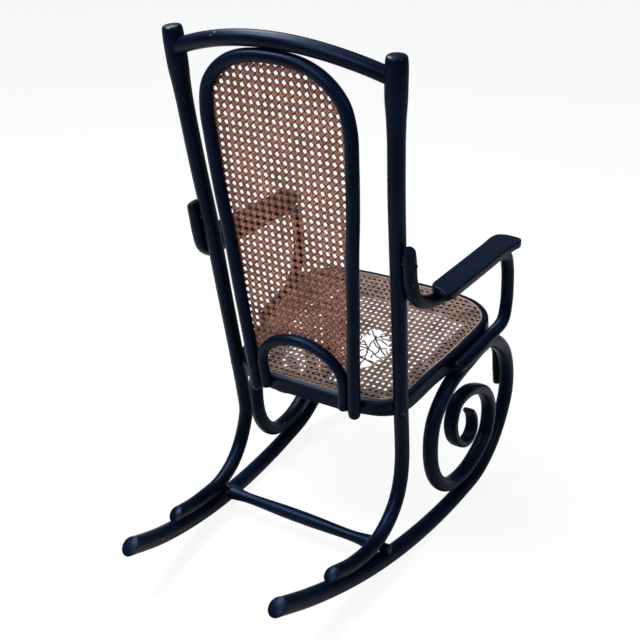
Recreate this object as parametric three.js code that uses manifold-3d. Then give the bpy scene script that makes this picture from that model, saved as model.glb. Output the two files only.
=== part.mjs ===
// Bentwood rocking chair: bent beech rods screwed together, with a caned seat and back.
// Millimetres, +Z up, the sitter faces -Y, the sitter's left is +X.
import * as THREE from 'three';
import { mergeGeometries, mergeVertices } from 'three/addons/utils/BufferGeometryUtils.js';
import Module from 'manifold-3d';

const wasm = await Module();
wasm.setup();

// Fits between the pieces
const clearance = 0.3;
const overrun = 4;

// Fineness of the bent rods
const rodSides = 12;
const turnPerStep = 20;
const longestStep = 120;
const fineSteps = 900;

// Depth of the seat, which places the pieces at the front
const seatDepth = 406;
const seatRearReach = 53;
const seatFrontReach = seatRearReach - seatDepth;

// Runner and scroll, bent from one rod
const rockerThickness = 31;
const runnerRadius = 1168;
const runnerLowReach = -52;
const runnerRestLength = 80;
const runnerRearReach = 402;
const runnerEndLength = 22;
const endCutAngle = 50;
const sawnBlock = 90;
const runnerRearHalfWidth = 161;
const runnerFrontSetBack = 33;
const runnerFrontReach = seatFrontReach + runnerFrontSetBack;
const runnerFrontHalfWidth = 222;
const runnerFlare = 1.4;
const runnerShares = [0, 0.16, 0.33, 0.5, 0.67, 0.83, 0.94];
const scrollSetBack = 148;
const scrollReach = seatFrontReach + scrollSetBack;
const scrollHeight = 182;
const scrollRadius = 200;
const scrollAngleStep = 30;
const loopStartAngle = -60;
const loopRadiusShares = [0.806, 0.881, 0.985, 0.992, 0.925];
const topRunShares = [0.27, 0.03];
const scrollStartAngle = 120;
const scrollRadiusShares = [
  0.731, 0.717, 0.662, 0.641, 0.622, 0.572, 0.56, 0.592, 0.543, 0.464, 0.404,
  0.401, 0.41, 0.323, 0.237, 0.192, 0.181, 0.19, 0.205, 0.195, 0.168, 0.16, 0.17,
];
const rockerSectionShares = [
  [0, 1.1, 1.1, 0], [0.12, 1.08, 1.08, 0], [0.3, 1, 1, 0], [0.68, 0.98, 0.98, 0], [0.78, 0.86, 0.98, 0.3],
  [0.86, 0.7, 0.95, 0.7], [0.94, 0.5, 0.9, 1], [1, 0.34, 0.82, 1],
];

// Back posts
const postThickness = 30.5;
const postHeight = 1007;
const postTopReach = 132;
const postTopHalfWidth = 220;
const postShares = [
  [1, 1, 1], [0.984, 0.94, 0.93], [0.968, 0.856, 0.856], [0.941, 0.72, 0.749], [0.909, 0.523, 0.615],
  [0.882, 0.333, 0.47], [0.855, 0.159, 0.336], [0.841, 0.038, 0.243], [0.836, 0, 0.197],
  [0.845, 0.061, 0.156], [0.85, 0.189, 0.1206], [0.85, 0.402, 0.0909], [0.85, 0.735, 0.0702],
  [0.85, 1.08, 0.0668],
];
const postTailReach = 250;
const postTailLength = 57;
const postTailEndLength = 20;
const postTailShares = [0, 0.5, 1];
const postSectionShares = [
  [0, 0.3], [0.003, 0.78], [0.007, 1.06], [0.014, 1.22], [0.024, 1.26], [0.055, 1.25], [0.095, 1.08],
  [0.13, 1.01], [0.3, 1], [0.55, 0.94], [0.97, 0.93], [0.985, 0.9], [1, 0.72],
];

// Crest rail
const crestThickness = 28.5;
const crestAbovePosts = 3;
const crestHeight = postHeight + crestAbovePosts;
const crestReach = 158;
const crestDrop = 42.5;
const crestShares = [-1, -0.78, -0.52, -0.26, 0, 0.26, 0.52, 0.78, 1];
const tenonThickness = 15;
const tenonLength = 20;

// Back hoop and the lower arch inside it
const hoopThickness = 24.5;
const hoopFootHeight = 295;
const hoopFootReach = 57;
const hoopHalfWidth = 146;
const hoopShares = [
  [0.753, 0], [0.801, 0.182], [0.849, 0.331], [0.897, 0.503], [0.945, 0.62], [0.984, 0.765], [0.99, 0.84],
  [0.93, 0.903], [0.79, 0.945], [0.6, 0.975], [0.36, 0.993], [0, 1],
];
const archThickness = 21.5;
const archHeight = 436;
const archFootHeight = 309;
const archSpringHeight = 368;
const archShares = [0, 12, 24, 36, 48, 60, 74, 90];
const archFootShares = [0, 0.5];

// Seat ring, laid out flat and then tilted
const seatHalfWidth = 226;
const seatRearHeight = 328.7;
const seatTilt = 11.75;
const seatOutlineShares = [
  [0, 0], [0.2, 0], [0.385, 0.001], [0.53, 0.016], [0.675, 0.036], [0.785, 0.074], [0.846, 0.132], [0.872, 0.207],
  [0.898, 0.335], [0.932, 0.44], [0.96, 0.545], [0.984, 0.67], [0.998, 0.76], [0.99, 0.828], [0.945, 0.882],
  [0.86, 0.93], [0.745, 0.966], [0.6, 0.986], [0.42, 0.996], [0.2, 1], [0, 1],
];
const ringWidth = 42;
const ringDepth = 33;
const ringRimWidth = 12;
const ringShoulder = 7;
const ringBead = 1;
const ringCorner = 3;

// Cane panels
const caneThickness = 2.4;
const canePitch = 30;
const caneStrandShare = 0.46;
const caneSetBack = 7;
const caneLetIn = 3;
const tearShares = [
  [0.03, 0.45], [-0.03, 0.475], [-0.1, 0.48], [-0.1, 0.535], [-0.2, 0.525], [-0.3, 0.51], [-0.41, 0.41],
  [-0.4, 0.345], [-0.34, 0.25], [-0.24, 0.23], [-0.12, 0.27], [0, 0.34],
];

// Arm rods and armrests
const armThickness = 25.4;
const armTopHeight = 672;
const armLeaveHeight = 610;
const armReachBehindPost = 8;
const armRunHalfWidth = 246;
const armFrontSetBack = 50;
const armFrontReach = seatFrontReach + armFrontSetBack;
const armFrontHeight = 480;
const armFrontHalfWidth = 249;
const armRingDrop = 21;
const armRingFrontSetBack = 91;
const armRingFrontReach = seatFrontReach + armRingFrontSetBack;
const armRingEndSetBack = 219;
const armRingEndReach = seatFrontReach + armRingEndSetBack;
const armrestTop = 580;
const armrestThickness = 15;
const armrestLength = 322;
const armrestWidth = 60;
const armrestHalfWidth = 253;
const armrestSetBack = 222;
const armrestReach = seatFrontReach + armrestSetBack;
const armrestEdge = 3.5;
const armrestShares = [
  [-0.28, 0.43], [0.05, 0.462], [0.32, 0.497], [0.455, 0.48], [0.5, 0.43], [0.49, 0.3], [0.46, 0], [0.43, -0.3],
  [0.46, -0.39], [0.49, -0.44], [0.4, -0.485], [0.12, -0.5], [-0.2, -0.5], [-0.42, -0.475], [-0.5, -0.42],
  [-0.475, -0.3], [-0.43, 0], [-0.39, 0.3], [-0.36, 0.4],
];

// Rods that cross under the seat
const braceThickness = 17;
const braceForward = 8;
const braceFootHeight = 184;
const braceShoulderHeight = 285;
const braceCrownSetBack = 31;
const braceCrownReach = seatFrontReach + braceCrownSetBack;
const braceShares = [[1, 0.18, 0.2], [0.88, 0.5, 0.62], [0.6, 0.85, 0.93], [0.3, 0.97, 0.995], [0, 1, 1]];
const stretcherThickness = 28;
const stretcherReach = 83;
const stretcherOverhang = 14;
const stretcherEndShare = 0.05;
const stretcherSectionShares = [
  [0, 0.6], [0.008, 0.68], [0.085, 0.7], [0.1, 0.98], [0.115, 1], [0.155, 0.76], [0.22, 0.6], [0.5, 0.54],
];

// Countersunk wood screws
const screwThickness = 4;
const screwHeadThickness = 8.4;
const screwHeadDepth = 2.4;
const screwTipLength = 3;
const screwSides = 6;
const screwBite = 17;
const armrestScrewBite = 9;
const tenonScrewBite = 12;
const armrestScrewShares = { front: -0.28, rear: 0.22 };
const rockerSeatScrewSetBacks = { front: 85, rear: 139 };
const screwEdgeClearance = 5;
const rockerTopShares = [0.45, 0.6];
const postScrewHeight = 318;
const hoopScrewHeight = 314;
const archScrewHeight = 346;
const braceScrewHeight = 222;

const degrees = Math.PI / 180;
const X = new THREE.Vector3(1, 0, 0);
const Y = new THREE.Vector3(0, 1, 0);
const Z = new THREE.Vector3(0, 0, 1);
const point = (x, y, z) => new THREE.Vector3(x, y, z);

// Read a column of rows of shares at a share of the way, straight between the rows
function between(rows, at) {
  const next = Math.max(1, rows.findIndex((row) => row[0] >= at));
  const [before, after] = [rows[next - 1], rows[next]];
  const part = (at - before[0]) / (after[0] - before[0]);
  return before.map((value, column) => value + part * (after[column] - value));
}

// A smooth curve through points, measured finely enough for tight turns
function curveThrough(points, closed = false) {
  const curve = new THREE.CatmullRomCurve3(points, closed, 'centripetal');
  curve.arcLengthDivisions = fineSteps;
  return curve;
}

// Shares of a curve where a sweep steps: many where it turns, few where it runs straight, none inside a plain stretch
function stepShares(curve, extra = [], plain = []) {
  const length = curve.getLength();
  const effort = [0];
  let tangent = curve.getTangentAt(0);
  for (let i = 1; i <= fineSteps; i += 1) {
    const next = curve.getTangentAt(i / fineSteps);
    const turn = tangent.angleTo(next) / (turnPerStep * degrees);
    effort.push(effort[i - 1] + turn + length / fineSteps / longestStep);
    tangent = next;
  }
  const count = Math.ceil(effort[fineSteps]);
  const shares = [...extra, ...plain, 1];
  let step = 0;
  for (let i = 0; i < fineSteps; i += 1) {
    if (effort[i] >= (step * effort[fineSteps]) / count) {
      shares.push(i / fineSteps);
      step += 1;
    }
  }
  shares.sort((a, b) => a - b);
  const kept = [...extra, ...plain];
  const bare = (share) => share > plain[0] && share < plain[1];
  return shares.filter((share, i) => kept.includes(share) || i === 0 || share === 1
    || (!bare(share) && kept.every((other) => Math.abs(other - share) > 0.4 / count)));
}

// The share and the point of a curve where one of its coordinates has a value
function shareWhere(curve, axis, value, from = 0, to = 1) {
  const shares = Array.from({ length: fineSteps + 1 }, (_, i) => from + ((to - from) * i) / fineSteps);
  const misses = shares.map((share) => Math.abs(curve.getPointAt(share)[axis] - value));
  return shares[misses.indexOf(Math.min(...misses))];
}
const pointWhere = (curve, axis, value, from, to) => curve.getPointAt(shareWhere(curve, axis, value, from, to));

// Close a solid over rings of points, with faces that point out
function skin(rings, closed = false) {
  const size = rings[0].length;
  const positions = rings.flat().flatMap((p) => [p.x, p.y, p.z]);
  const faces = [];
  const last = closed ? rings.length : rings.length - 1;
  for (let i = 0; i < last; i += 1) {
    const [here, there] = [i * size, ((i + 1) % rings.length) * size];
    for (let k = 0; k < size; k += 1) {
      const next = (k + 1) % size;
      faces.push([here + k, here + next, there + next], [here + k, there + next, there + k]);
    }
  }
  if (!closed) {
    const end = (rings.length - 1) * size;
    for (let k = 1; k < size - 1; k += 1) {
      faces.push([0, k + 1, k], [end, end + k, end + k + 1]);
    }
  }
  const at = (index) => point(...positions.slice(3 * index, 3 * index + 3));
  const volume = faces.reduce((sum, [a, b, c]) => sum + at(a).dot(at(b).cross(at(c))), 0);
  if (volume < 0) faces.forEach((face) => face.reverse());
  const geometry = new THREE.BufferGeometry();
  geometry.setAttribute('position', new THREE.Float32BufferAttribute(positions, 3));
  geometry.setIndex(faces.flat());
  geometry.computeVertexNormals();
  return geometry;
}

// Sweep an outline along a curve; its first coordinate runs along the given direction
function sweep(curve, across, outlineAt, breaks = [], closed = false, plain = []) {
  const shares = stepShares(curve, breaks, plain);
  if (closed) shares.pop();
  const rings = shares.map((share) => {
    const tangent = curve.getTangentAt(share);
    const side = across.clone().addScaledVector(tangent, -across.dot(tangent)).normalize();
    const up = side.clone().cross(tangent);
    const centre = curve.getPointAt(share);
    return outlineAt(share).map(([a, b]) => centre.clone().addScaledVector(side, a).addScaledVector(up, b));
  });
  return skin(rings, closed);
}

// A bent rod: round, or flattened towards a rounded band where the rows say so
function rod(curve, across, thickness, rows, grow = 0, plain = []) {
  const outlineAt = (share) => {
    const [, depth, width = depth, squareness = 0] = between(rows, share);
    const power = 1 - 0.5 * squareness;
    const bend = (value) => Math.sign(value) * Math.abs(value) ** power;
    return Array.from({ length: rodSides }, (_, k) => {
      const angle = (2 * Math.PI * k) / rodSides;
      const [a, b] = [bend(Math.cos(angle)), bend(Math.sin(angle))];
      return [a * ((width * thickness) / 2 + grow), b * ((depth * thickness) / 2 + grow)];
    });
  };
  return sweep(curve, across, outlineAt, rows.map((row) => row[0]), false, plain);
}
const evenRows = [[0, 0.86], [0.006, 1], [0.994, 1], [1, 0.86]];

function toSolid(geometry) {
  const bare = geometry.clone();
  bare.deleteAttribute('normal');
  bare.deleteAttribute('uv');
  const merged = mergeVertices(bare);
  return new wasm.Manifold(new wasm.Mesh({
    numProp: 3,
    vertProperties: merged.attributes.position.array,
    triVerts: new Uint32Array(merged.index.array),
  }));
}

function toGeometry(solid) {
  const mesh = solid.getMesh();
  const geometry = new THREE.BufferGeometry();
  geometry.setAttribute('position', new THREE.BufferAttribute(mesh.vertProperties, 3));
  geometry.setIndex(new THREE.BufferAttribute(mesh.triVerts, 1));
  geometry.computeVertexNormals();
  return geometry;
}

// Runner: an arc on the floor that spreads towards the front
function runnerHeightAt(reach) {
  const along = reach - runnerLowReach;
  return rockerThickness / 2 + runnerRadius - Math.sqrt(runnerRadius ** 2 - along ** 2);
}

function rockerHalfWidthAt(reach) {
  const share = THREE.MathUtils.clamp((runnerRearReach - reach) / (runnerRearReach - runnerFrontReach), 0, 1);
  return runnerRearHalfWidth + (runnerFrontHalfWidth - runnerRearHalfWidth) * (1 - (1 - share) ** runnerFlare);
}

function rockerCurve(side) {
  const points = runnerShares.map((share) => {
    const rear = runnerRearReach + runnerEndLength;
    const reach = rear + share * (runnerFrontReach - rear);
    return point(side * rockerHalfWidthAt(reach), reach, runnerHeightAt(reach));
  });
  const wind = (shares, startAngle) => shares.forEach((share, i) => {
    const angle = (startAngle + i * scrollAngleStep) * degrees;
    const reach = scrollReach - share * scrollRadius * Math.cos(angle);
    const height = scrollHeight + share * scrollRadius * Math.sin(angle);
    points.push(point(side * rockerHalfWidthAt(reach), reach, height));
  });
  wind(loopRadiusShares, loopStartAngle);
  topRunShares.forEach((share) => {
    const reach = scrollReach - share * scrollRadius;
    points.push(point(side * rockerHalfWidthAt(reach), reach, ringBottomAt(reach) - rockerThickness / 2));
  });
  wind(scrollRadiusShares, scrollStartAngle);
  return curveThrough(points);
}

// The rocker's rod, flat underneath where the chair stands at rest
function rockerRod(curve, grow = 0) {
  const ends = [0.5, -0.5].map((share) => (
    shareWhere(curve, 'y', runnerLowReach + share * runnerRestLength, 0, 0.3)
  ));
  return rod(curve, X, rockerThickness, rockerSectionShares, grow, ends);
}

// Post: raked and bowed, bent back at the foot to lie on the runner
const lapOnRunner = (postThickness * 0.93 + rockerThickness) / 2 + clearance;
function postCurve(side) {
  const points = postShares.map(([across, back, up]) => (
    point(side * across * postTopHalfWidth, back * postTopReach, up * postHeight)
  ));
  postTailShares.forEach((share) => {
    const reach = postTailReach + postTailEndLength - (1 - share) * (postTailLength + postTailEndLength);
    points.push(point(side * rockerHalfWidthAt(reach), reach, runnerHeightAt(reach) + lapOnRunner));
  });
  return curveThrough(points);
}

// Crest rail: an arch that also bows to the back
const crestEnd = pointWhere(postCurve(1), 'z', crestHeight - crestDrop, 0, 0.3);
function crestCurve() {
  return curveThrough(crestShares.map((share) => point(
    share * crestEnd.x,
    crestEnd.y + (crestReach - crestEnd.y) * (1 - share ** 2),
    crestHeight - crestDrop * share ** 2,
  )));
}

// Back plane, from the feet of the hoop to its crown under the crest rail
const hoopCrownHeight = crestHeight - (crestThickness + hoopThickness) / 2 - clearance;
const backRake = Math.atan2(crestReach - hoopFootReach, hoopCrownHeight - hoopFootHeight);
const backNormal = point(0, Math.cos(backRake), -Math.sin(backRake));
const backPoint = (across, height) => (
  point(across, hoopFootReach + (height - hoopFootHeight) * Math.tan(backRake), height)
);
function mirrored(points) {
  return [...points, ...points.slice(0, -1).reverse().map((p) => point(-p.x, p.y, p.z))];
}
const hoopCurve = curveThrough(mirrored(hoopShares.map(([across, up]) => (
  backPoint(across * hoopHalfWidth, hoopFootHeight + up * (hoopCrownHeight - hoopFootHeight))
))));
const hoopLeg = (height) => pointWhere(hoopCurve, 'z', height, 0, 0.4);

// Lower arch: its legs follow the legs of the hoop down behind the seat
const archInset = (hoopThickness + archThickness) / 2 + clearance;
const archSpring = hoopLeg(archSpringHeight).x - archInset;
const archCurve = curveThrough(mirrored([
  ...archFootShares.map((share) => {
    const height = archFootHeight + share * (archSpringHeight - archFootHeight);
    return backPoint(hoopLeg(height).x - archInset, height);
  }),
  ...archShares.map((angle) => backPoint(
    archSpring * Math.cos(angle * degrees),
    archSpringHeight + (archHeight - archSpringHeight) * Math.sin(angle * degrees),
  )),
]));

// Seat ring
const seatFrame = new THREE.Matrix4().makeRotationX(-seatTilt * degrees).setPosition(0, seatRearReach, seatRearHeight);
const seatRight = seatOutlineShares.map(([across, forward]) => (
  point(across * seatHalfWidth, -forward * seatDepth, 0)
));
const seatLoop = [...seatRight, ...seatRight.slice(1, -1).reverse().map((p) => point(-p.x, p.y, p.z))];
const seatCurve = curveThrough(seatLoop, true);
const seatEdgeAt = (reach) => {
  const along = (reach - seatRearReach) / Math.cos(seatTilt * degrees);
  return pointWhere(seatCurve, 'y', along, 0.05, 0.45).x;
};
const seatTopAt = (reach) => seatRearHeight + (seatRearReach - reach) * Math.tan(seatTilt * degrees);
const ringBottomAt = (reach) => seatTopAt(reach) - ringDepth / Math.cos(seatTilt * degrees);
function seatRing() {
  const rebate = caneThickness + clearance;
  const outline = [
    [-ringDepth, ringCorner], [ringCorner - ringDepth, 0], [-ringShoulder, 0],
    [-ringShoulder * 0.4, ringShoulder * 0.25], [-ringBead, ringShoulder], [0, ringShoulder],
    [0, ringRimWidth], [-rebate, ringRimWidth], [-rebate, ringWidth], [-ringDepth, ringWidth],
  ];
  return sweep(seatCurve, Z, () => outline.map(([w, inset]) => [w, -inset]), [], true).applyMatrix4(seatFrame);
}

// Arm rod: up the post, forward under the armrest, down and back along the seat ring
function armCurve(side) {
  const post = postCurve(1);
  const radius = armThickness / 2;
  const points = [0, 0.5, 1].map((share) => {
    const height = armTopHeight + share * (armLeaveHeight - armTopHeight);
    const beside = pointWhere(post, 'z', height, 0.2, 0.6);
    return point(beside.x + postThickness / 2 + radius + clearance, beside.y + armReachBehindPost, height);
  });
  const leave = points[2];
  const runHeight = armrestTop - armrestThickness - clearance - radius;
  const front = armrestReach - armrestLength / 2;
  points.push(
    point(leave.x + 0.12 * (armRunHalfWidth - leave.x), leave.y * 0.8, leave.z + 0.62 * (runHeight - leave.z)),
    point(leave.x + 0.4 * (armRunHalfWidth - leave.x), leave.y * 0.25, runHeight),
    point(armRunHalfWidth, armrestReach + armrestLength * 0.3, runHeight),
    point(armRunHalfWidth, armrestReach, runHeight),
    point(armRunHalfWidth, armrestReach - armrestLength * 0.34, runHeight),
    point(armFrontHalfWidth, front * 0.965, runHeight + 0.16 * (armFrontHeight - runHeight)),
    point(armFrontHalfWidth, front * 1.02, runHeight + 0.6 * (armFrontHeight - runHeight)),
    point(armFrontHalfWidth, armFrontReach, armFrontHeight),
  );
  const onRing = [0, 0.3, 0.65, 1].map((share) => {
    const reach = armRingFrontReach + share * (armRingEndReach - armRingFrontReach);
    return point(seatEdgeAt(reach) + radius + clearance, reach, seatTopAt(reach) - armRingDrop);
  });
  const lift = armFrontHeight - onRing[0].z;
  points.push(
    point(armFrontHalfWidth, armFrontReach * 1.005, onRing[0].z + 0.52 * lift),
    point(armFrontHalfWidth, armFrontReach * 0.96, onRing[0].z + 0.2 * lift),
    ...onRing,
  );
  return curveThrough(points.map((p) => point(side * p.x, p.y, p.z)));
}

// Front brace: a bow under the front of the seat, its feet inside the front loops
function braceCurve() {
  const loop = rockerCurve(1);
  const across = runnerFrontHalfWidth - (rockerThickness + braceThickness) / 2 - 2 * clearance;
  const beside = (height) => pointWhere(loop, 'z', height, 0.3, 0.45).addScaledVector(Y, -braceForward);
  const foot = beside(braceFootHeight);
  const shoulder = beside(braceShoulderHeight);
  const crown = ringBottomAt(braceCrownReach) - braceThickness / 2 - clearance;
  const bow = braceShares.map(([wide, back, up]) => point(
    wide * across,
    shoulder.y + back * (braceCrownReach - shoulder.y),
    shoulder.z + up * (crown - shoulder.z),
  ));
  const leg = [0, 0.5, 1].map((share) => point(across, foot.y + share * (shoulder.y - foot.y),
    foot.z + share * (shoulder.z - foot.z)));
  return curveThrough(mirrored([...leg, ...bow]));
}

// Stretcher: a turned rod with flared shoulders, its slim ends laid across the runners
const stretcherEnd = between(stretcherSectionShares, stretcherEndShare)[1] * stretcherThickness;
const stretcherHeight = runnerHeightAt(stretcherReach) + (rockerThickness + stretcherEnd) / 2 + clearance;
function stretcher() {
  const half = rockerHalfWidthAt(stretcherReach) + stretcherOverhang;
  const curve = new THREE.LineCurve3(
    point(-half, stretcherReach, stretcherHeight),
    point(half, stretcherReach, stretcherHeight),
  );
  const mirroredRows = stretcherSectionShares.slice(0, -1).reverse().map(([at, share]) => [1 - at, share]);
  return rod(curve, Z, stretcherThickness, [...stretcherSectionShares, ...mirroredRows]);
}

// Armrest board with eased edges
function armrest(side) {
  const corners = armrestShares.map(([across, back]) => new THREE.Vector2(
    side * across * (armrestWidth - 2 * armrestEdge),
    back * (armrestLength - 2 * armrestEdge),
  ));
  const outline = new THREE.SplineCurve([...corners, corners[0]]).getPoints(corners.length * 2).slice(0, -1);
  const geometry = new THREE.ExtrudeGeometry(new THREE.Shape(outline), {
    depth: armrestThickness - 2 * armrestEdge,
    bevelSize: armrestEdge,
    bevelThickness: armrestEdge,
    bevelSegments: 1,
    steps: 1,
  });
  return geometry.translate(side * armrestHalfWidth, armrestReach, armrestTop - armrestThickness + armrestEdge);
}

// Whether a flat point lies inside a loop of points
function inside(loop, x, y) {
  return loop.reduce((odd, a, i) => {
    const b = loop[(i + 1) % loop.length];
    const crosses = (a.y > y) !== (b.y > y) && x < a.x + ((y - a.y) / (b.y - a.y)) * (b.x - a.x);
    return crosses ? !odd : odd;
  }, false);
}

// Cane: a flat net with rows of gaps inside the wood that carries it, and a tear if it has one
function caneNet(outline, openArea, tear = []) {
  const prism = (points, depth) => (
    new THREE.ExtrudeGeometry(new THREE.Shape(points), { depth, bevelEnabled: false })
  );
  const gap = canePitch * (1 - caneStrandShare);
  const box = new THREE.Box2().setFromPoints(outline);
  const rows = Math.ceil((box.max.y - box.min.y) / canePitch);
  const columns = Math.ceil(box.max.x / canePitch);
  const middle = (box.min.y + box.max.y) / 2;
  const gaps = [];
  for (let row = -rows; row <= rows; row += 1) {
    for (let column = -columns; column <= columns; column += 1) {
      const [x, y] = [column * canePitch, middle + (row + 0.5) * canePitch];
      const corners = [[-1, -1], [1, -1], [1, 1], [-1, 1]].map(([i, j]) => [x + (i * gap) / 2, y + (j * gap) / 2]);
      const open = corners.every(([cx, cy]) => inside(openArea, cx, cy));
      const torn = corners.some(([cx, cy]) => inside(tear, cx, cy));
      if (open && !torn) {
        gaps.push(new THREE.BoxGeometry(gap, gap, 4 * caneThickness).translate(x, y, 0));
      }
    }
  }
  let net = toSolid(prism(outline, caneThickness)).subtract(toSolid(mergeGeometries(gaps)));
  if (tear.length) {
    const hole = prism(tear, 3 * caneThickness).translate(0, 0, -caneThickness);
    net = net.subtract(toSolid(hole));
  }
  return toGeometry(net);
}

// Points of a flat curve moved sideways by a distance
function offsetPoints(curve, distance, shares) {
  return shares.map((share) => {
    const [p, t] = [curve.getPointAt(share), curve.getTangentAt(share)];
    return new THREE.Vector2(p.x + t.y * distance, p.y - t.x * distance);
  });
}
const offsetLoop = (curve, distance) => offsetPoints(curve, distance, stepShares(curve).slice(0, -1));

const onBack = (p) => new THREE.Vector2(p.x, (p.z - hoopFootHeight) / Math.cos(backRake));
const backFrame = new THREE.Matrix4().makeBasis(
  X,
  point(0, Math.sin(backRake), Math.cos(backRake)),
  point(0, -Math.cos(backRake), Math.sin(backRake)),
);
const caneSeatIn = (thickness) => Math.sqrt((thickness / 2) ** 2 - caneSetBack ** 2) - caneLetIn;
const hoopSeat = caneSeatIn(hoopThickness);
const archSeat = caneSeatIn(archThickness);

// Outline of the back cane: inside the hoop, outside the lower arch
function backOutline(hoopInset, archInsetOut, low = archSpringHeight) {
  const flat = (curve) => curveThrough(curve.points.map((p) => point(onBack(p).x, onBack(p).y, 0)));
  const edge = (curve, distance) => {
    const first = shareWhere(curve, 'y', (low - hoopFootHeight) / Math.cos(backRake), 0, 0.4);
    const shares = stepShares(curve, [first, 1 - first]);
    return offsetPoints(curve, distance, shares.filter((share) => share >= first && share <= 1 - first));
  };
  const hoopEdge = edge(flat(hoopCurve), -hoopInset);
  const archEdge = edge(flat(archCurve), archInsetOut);
  return [...hoopEdge, ...archEdge.reverse()];
}

// Wood, cane and steel
const wood = () => new THREE.MeshStandardMaterial({ color: 0x12141c, roughness: 0.35 });
const backCaneFinish = () => new THREE.MeshStandardMaterial({ color: 0x7a4a33, roughness: 0.6 });
const seatCaneFinish = () => new THREE.MeshStandardMaterial({ color: 0xa5866c, roughness: 0.65 });
const steel = () => new THREE.MeshStandardMaterial({ color: 0x3c3c40, roughness: 0.5, metalness: 1 });

// Build every wooden piece whole, then cut it to its neighbours
const hands = { left: 1, right: -1 };
const curves = {};
const pieces = {};
for (const [hand, side] of Object.entries(hands)) {
  curves[hand] = { rocker: rockerCurve(side), post: postCurve(side), arm: armCurve(side) };
  pieces[`${hand}_rocker`] = toSolid(rockerRod(curves[hand].rocker));
  pieces[`${hand}_post`] = toSolid(rod(curves[hand].post, X, postThickness, postSectionShares));
  pieces[`${hand}_arm_rod`] = toSolid(rod(curves[hand].arm, X, armThickness, evenRows));
  pieces[`${hand}_armrest`] = toSolid(armrest(side));
}
const hoopRows = [[0, 0.6], [0.004, 0.9], [0.01, 1], [0.99, 1], [0.996, 0.9], [1, 0.6]];
const brace = braceCurve();
pieces.back_hoop = toSolid(rod(hoopCurve, backNormal, hoopThickness, hoopRows));
pieces.lower_back_arch = toSolid(rod(archCurve, backNormal, archThickness, evenRows));
pieces.crest_rail = toSolid(rod(crestCurve(), Y, crestThickness, [[0, 1], [1, 1]]));
pieces.front_brace_hoop = toSolid(rod(brace, Y, braceThickness, hoopRows));
pieces.rear_stretcher = toSolid(stretcher());
pieces.seat_frame = toSolid(seatRing());

const cut = (name, cutter) => {
  pieces[name] = pieces[name].subtract(cutter);
};

// Saw a rear end off aslant, so that its underside reaches further back
function sawEnd(name, side, reach, height) {
  const block = new THREE.BoxGeometry(sawnBlock, sawnBlock, sawnBlock).translate(0, sawnBlock / 2, 0);
  block.rotateX(endCutAngle * degrees).translate(side * rockerHalfWidthAt(reach), reach, height);
  cut(name, toSolid(block));
}
for (const [hand, side] of Object.entries(hands)) {
  sawEnd(`${hand}_rocker`, side, runnerRearReach, runnerHeightAt(runnerRearReach));
  sawEnd(`${hand}_post`, side, postTailReach, runnerHeightAt(postTailReach) + lapOnRunner);
}
for (const [hand, side] of Object.entries(hands)) {
  const grown = (curve, thickness, rows) => toSolid(rod(curve, X, thickness, rows, clearance));
  const post = grown(curves[hand].post, postThickness, postSectionShares);
  cut('crest_rail', post);
  const tenonAt = (grow) => {
    const outer = crestEnd.x + tenonLength - postThickness / 2 + grow;
    const inner = crestEnd.x - postThickness;
    const curve = new THREE.LineCurve3(point(side * inner, crestEnd.y, crestEnd.z), point(side * outer, crestEnd.y, crestEnd.z));
    return toSolid(rod(curve, Y, tenonThickness, [[0, 1], [1, 1]], grow));
  };
  cut(`${hand}_post`, tenonAt(clearance));
  pieces.crest_rail = pieces.crest_rail.add(tenonAt(0));
  const rocker = toSolid(rockerRod(curves[hand].rocker, clearance));
  cut(`${hand}_post`, rocker);
  cut('rear_stretcher', rocker);
  cut('rear_stretcher', post);
  cut('seat_frame', post);
  cut('seat_frame', rocker);
  const arm = grown(curves[hand].arm, armThickness, evenRows);
  cut('seat_frame', arm);
  cut(`${hand}_armrest`, arm);
}
cut('seat_frame', toSolid(rod(hoopCurve, backNormal, hoopThickness, hoopRows, clearance)));
cut('seat_frame', toSolid(rod(archCurve, backNormal, archThickness, evenRows, clearance)));

cut('back_hoop', toSolid(rod(crestCurve(), Y, crestThickness, [[0, 1], [1, 1]], clearance)));

const slab = new THREE.ExtrudeGeometry(
  new THREE.Shape(backOutline(hoopSeat - clearance, archSeat - clearance, archSpringHeight - 2 * overrun)),
  { depth: caneThickness + 2 * clearance, bevelEnabled: false },
);
slab.translate(0, 0, caneSetBack - caneThickness / 2 - clearance);
slab.applyMatrix4(backFrame.clone().setPosition(0, hoopFootReach, hoopFootHeight));
cut('back_hoop', toSolid(slab));
cut('lower_back_arch', toSolid(slab));

// Screws: each bores through its pieces, its head sunk in the first
const screwProfile = (length, grow, lead) => [
  [0, -length - grow], [screwThickness / 2 + grow, screwTipLength - length - grow],
  [screwThickness / 2 + grow, -screwHeadDepth - grow], [screwHeadThickness / 2 + grow, -grow],
  [screwHeadThickness / 2 + grow, lead], [0, lead],
].map(([r, y]) => new THREE.Vector2(r, y));
const screws = [];
function fasten(name, head, direction, length, through) {
  const turn = new THREE.Quaternion().setFromUnitVectors(point(0, -1, 0), direction.clone().normalize());
  const profile = screwProfile(length, 0, 0).filter((p, i, all) => i === 0 || p.distanceTo(all[i - 1]) > 0);
  const screw = new THREE.Mesh(new THREE.LatheGeometry(profile, screwSides), steel());
  screw.name = name;
  screw.position.copy(head).addScaledVector(direction.clone().normalize(), clearance);
  screw.quaternion.copy(turn);
  screws.push(screw);
  const bore = new THREE.LatheGeometry(screwProfile(length, clearance, overrun), screwSides);
  bore.applyQuaternion(turn).translate(...screw.position);
  through.forEach((piece) => cut(piece, toSolid(bore)));
}
const atHeight = (curve, height, from, to) => pointWhere(curve, 'z', height, from, to);
const atReach = (curve, reach, from, to) => pointWhere(curve, 'y', reach, from, to);
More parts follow.
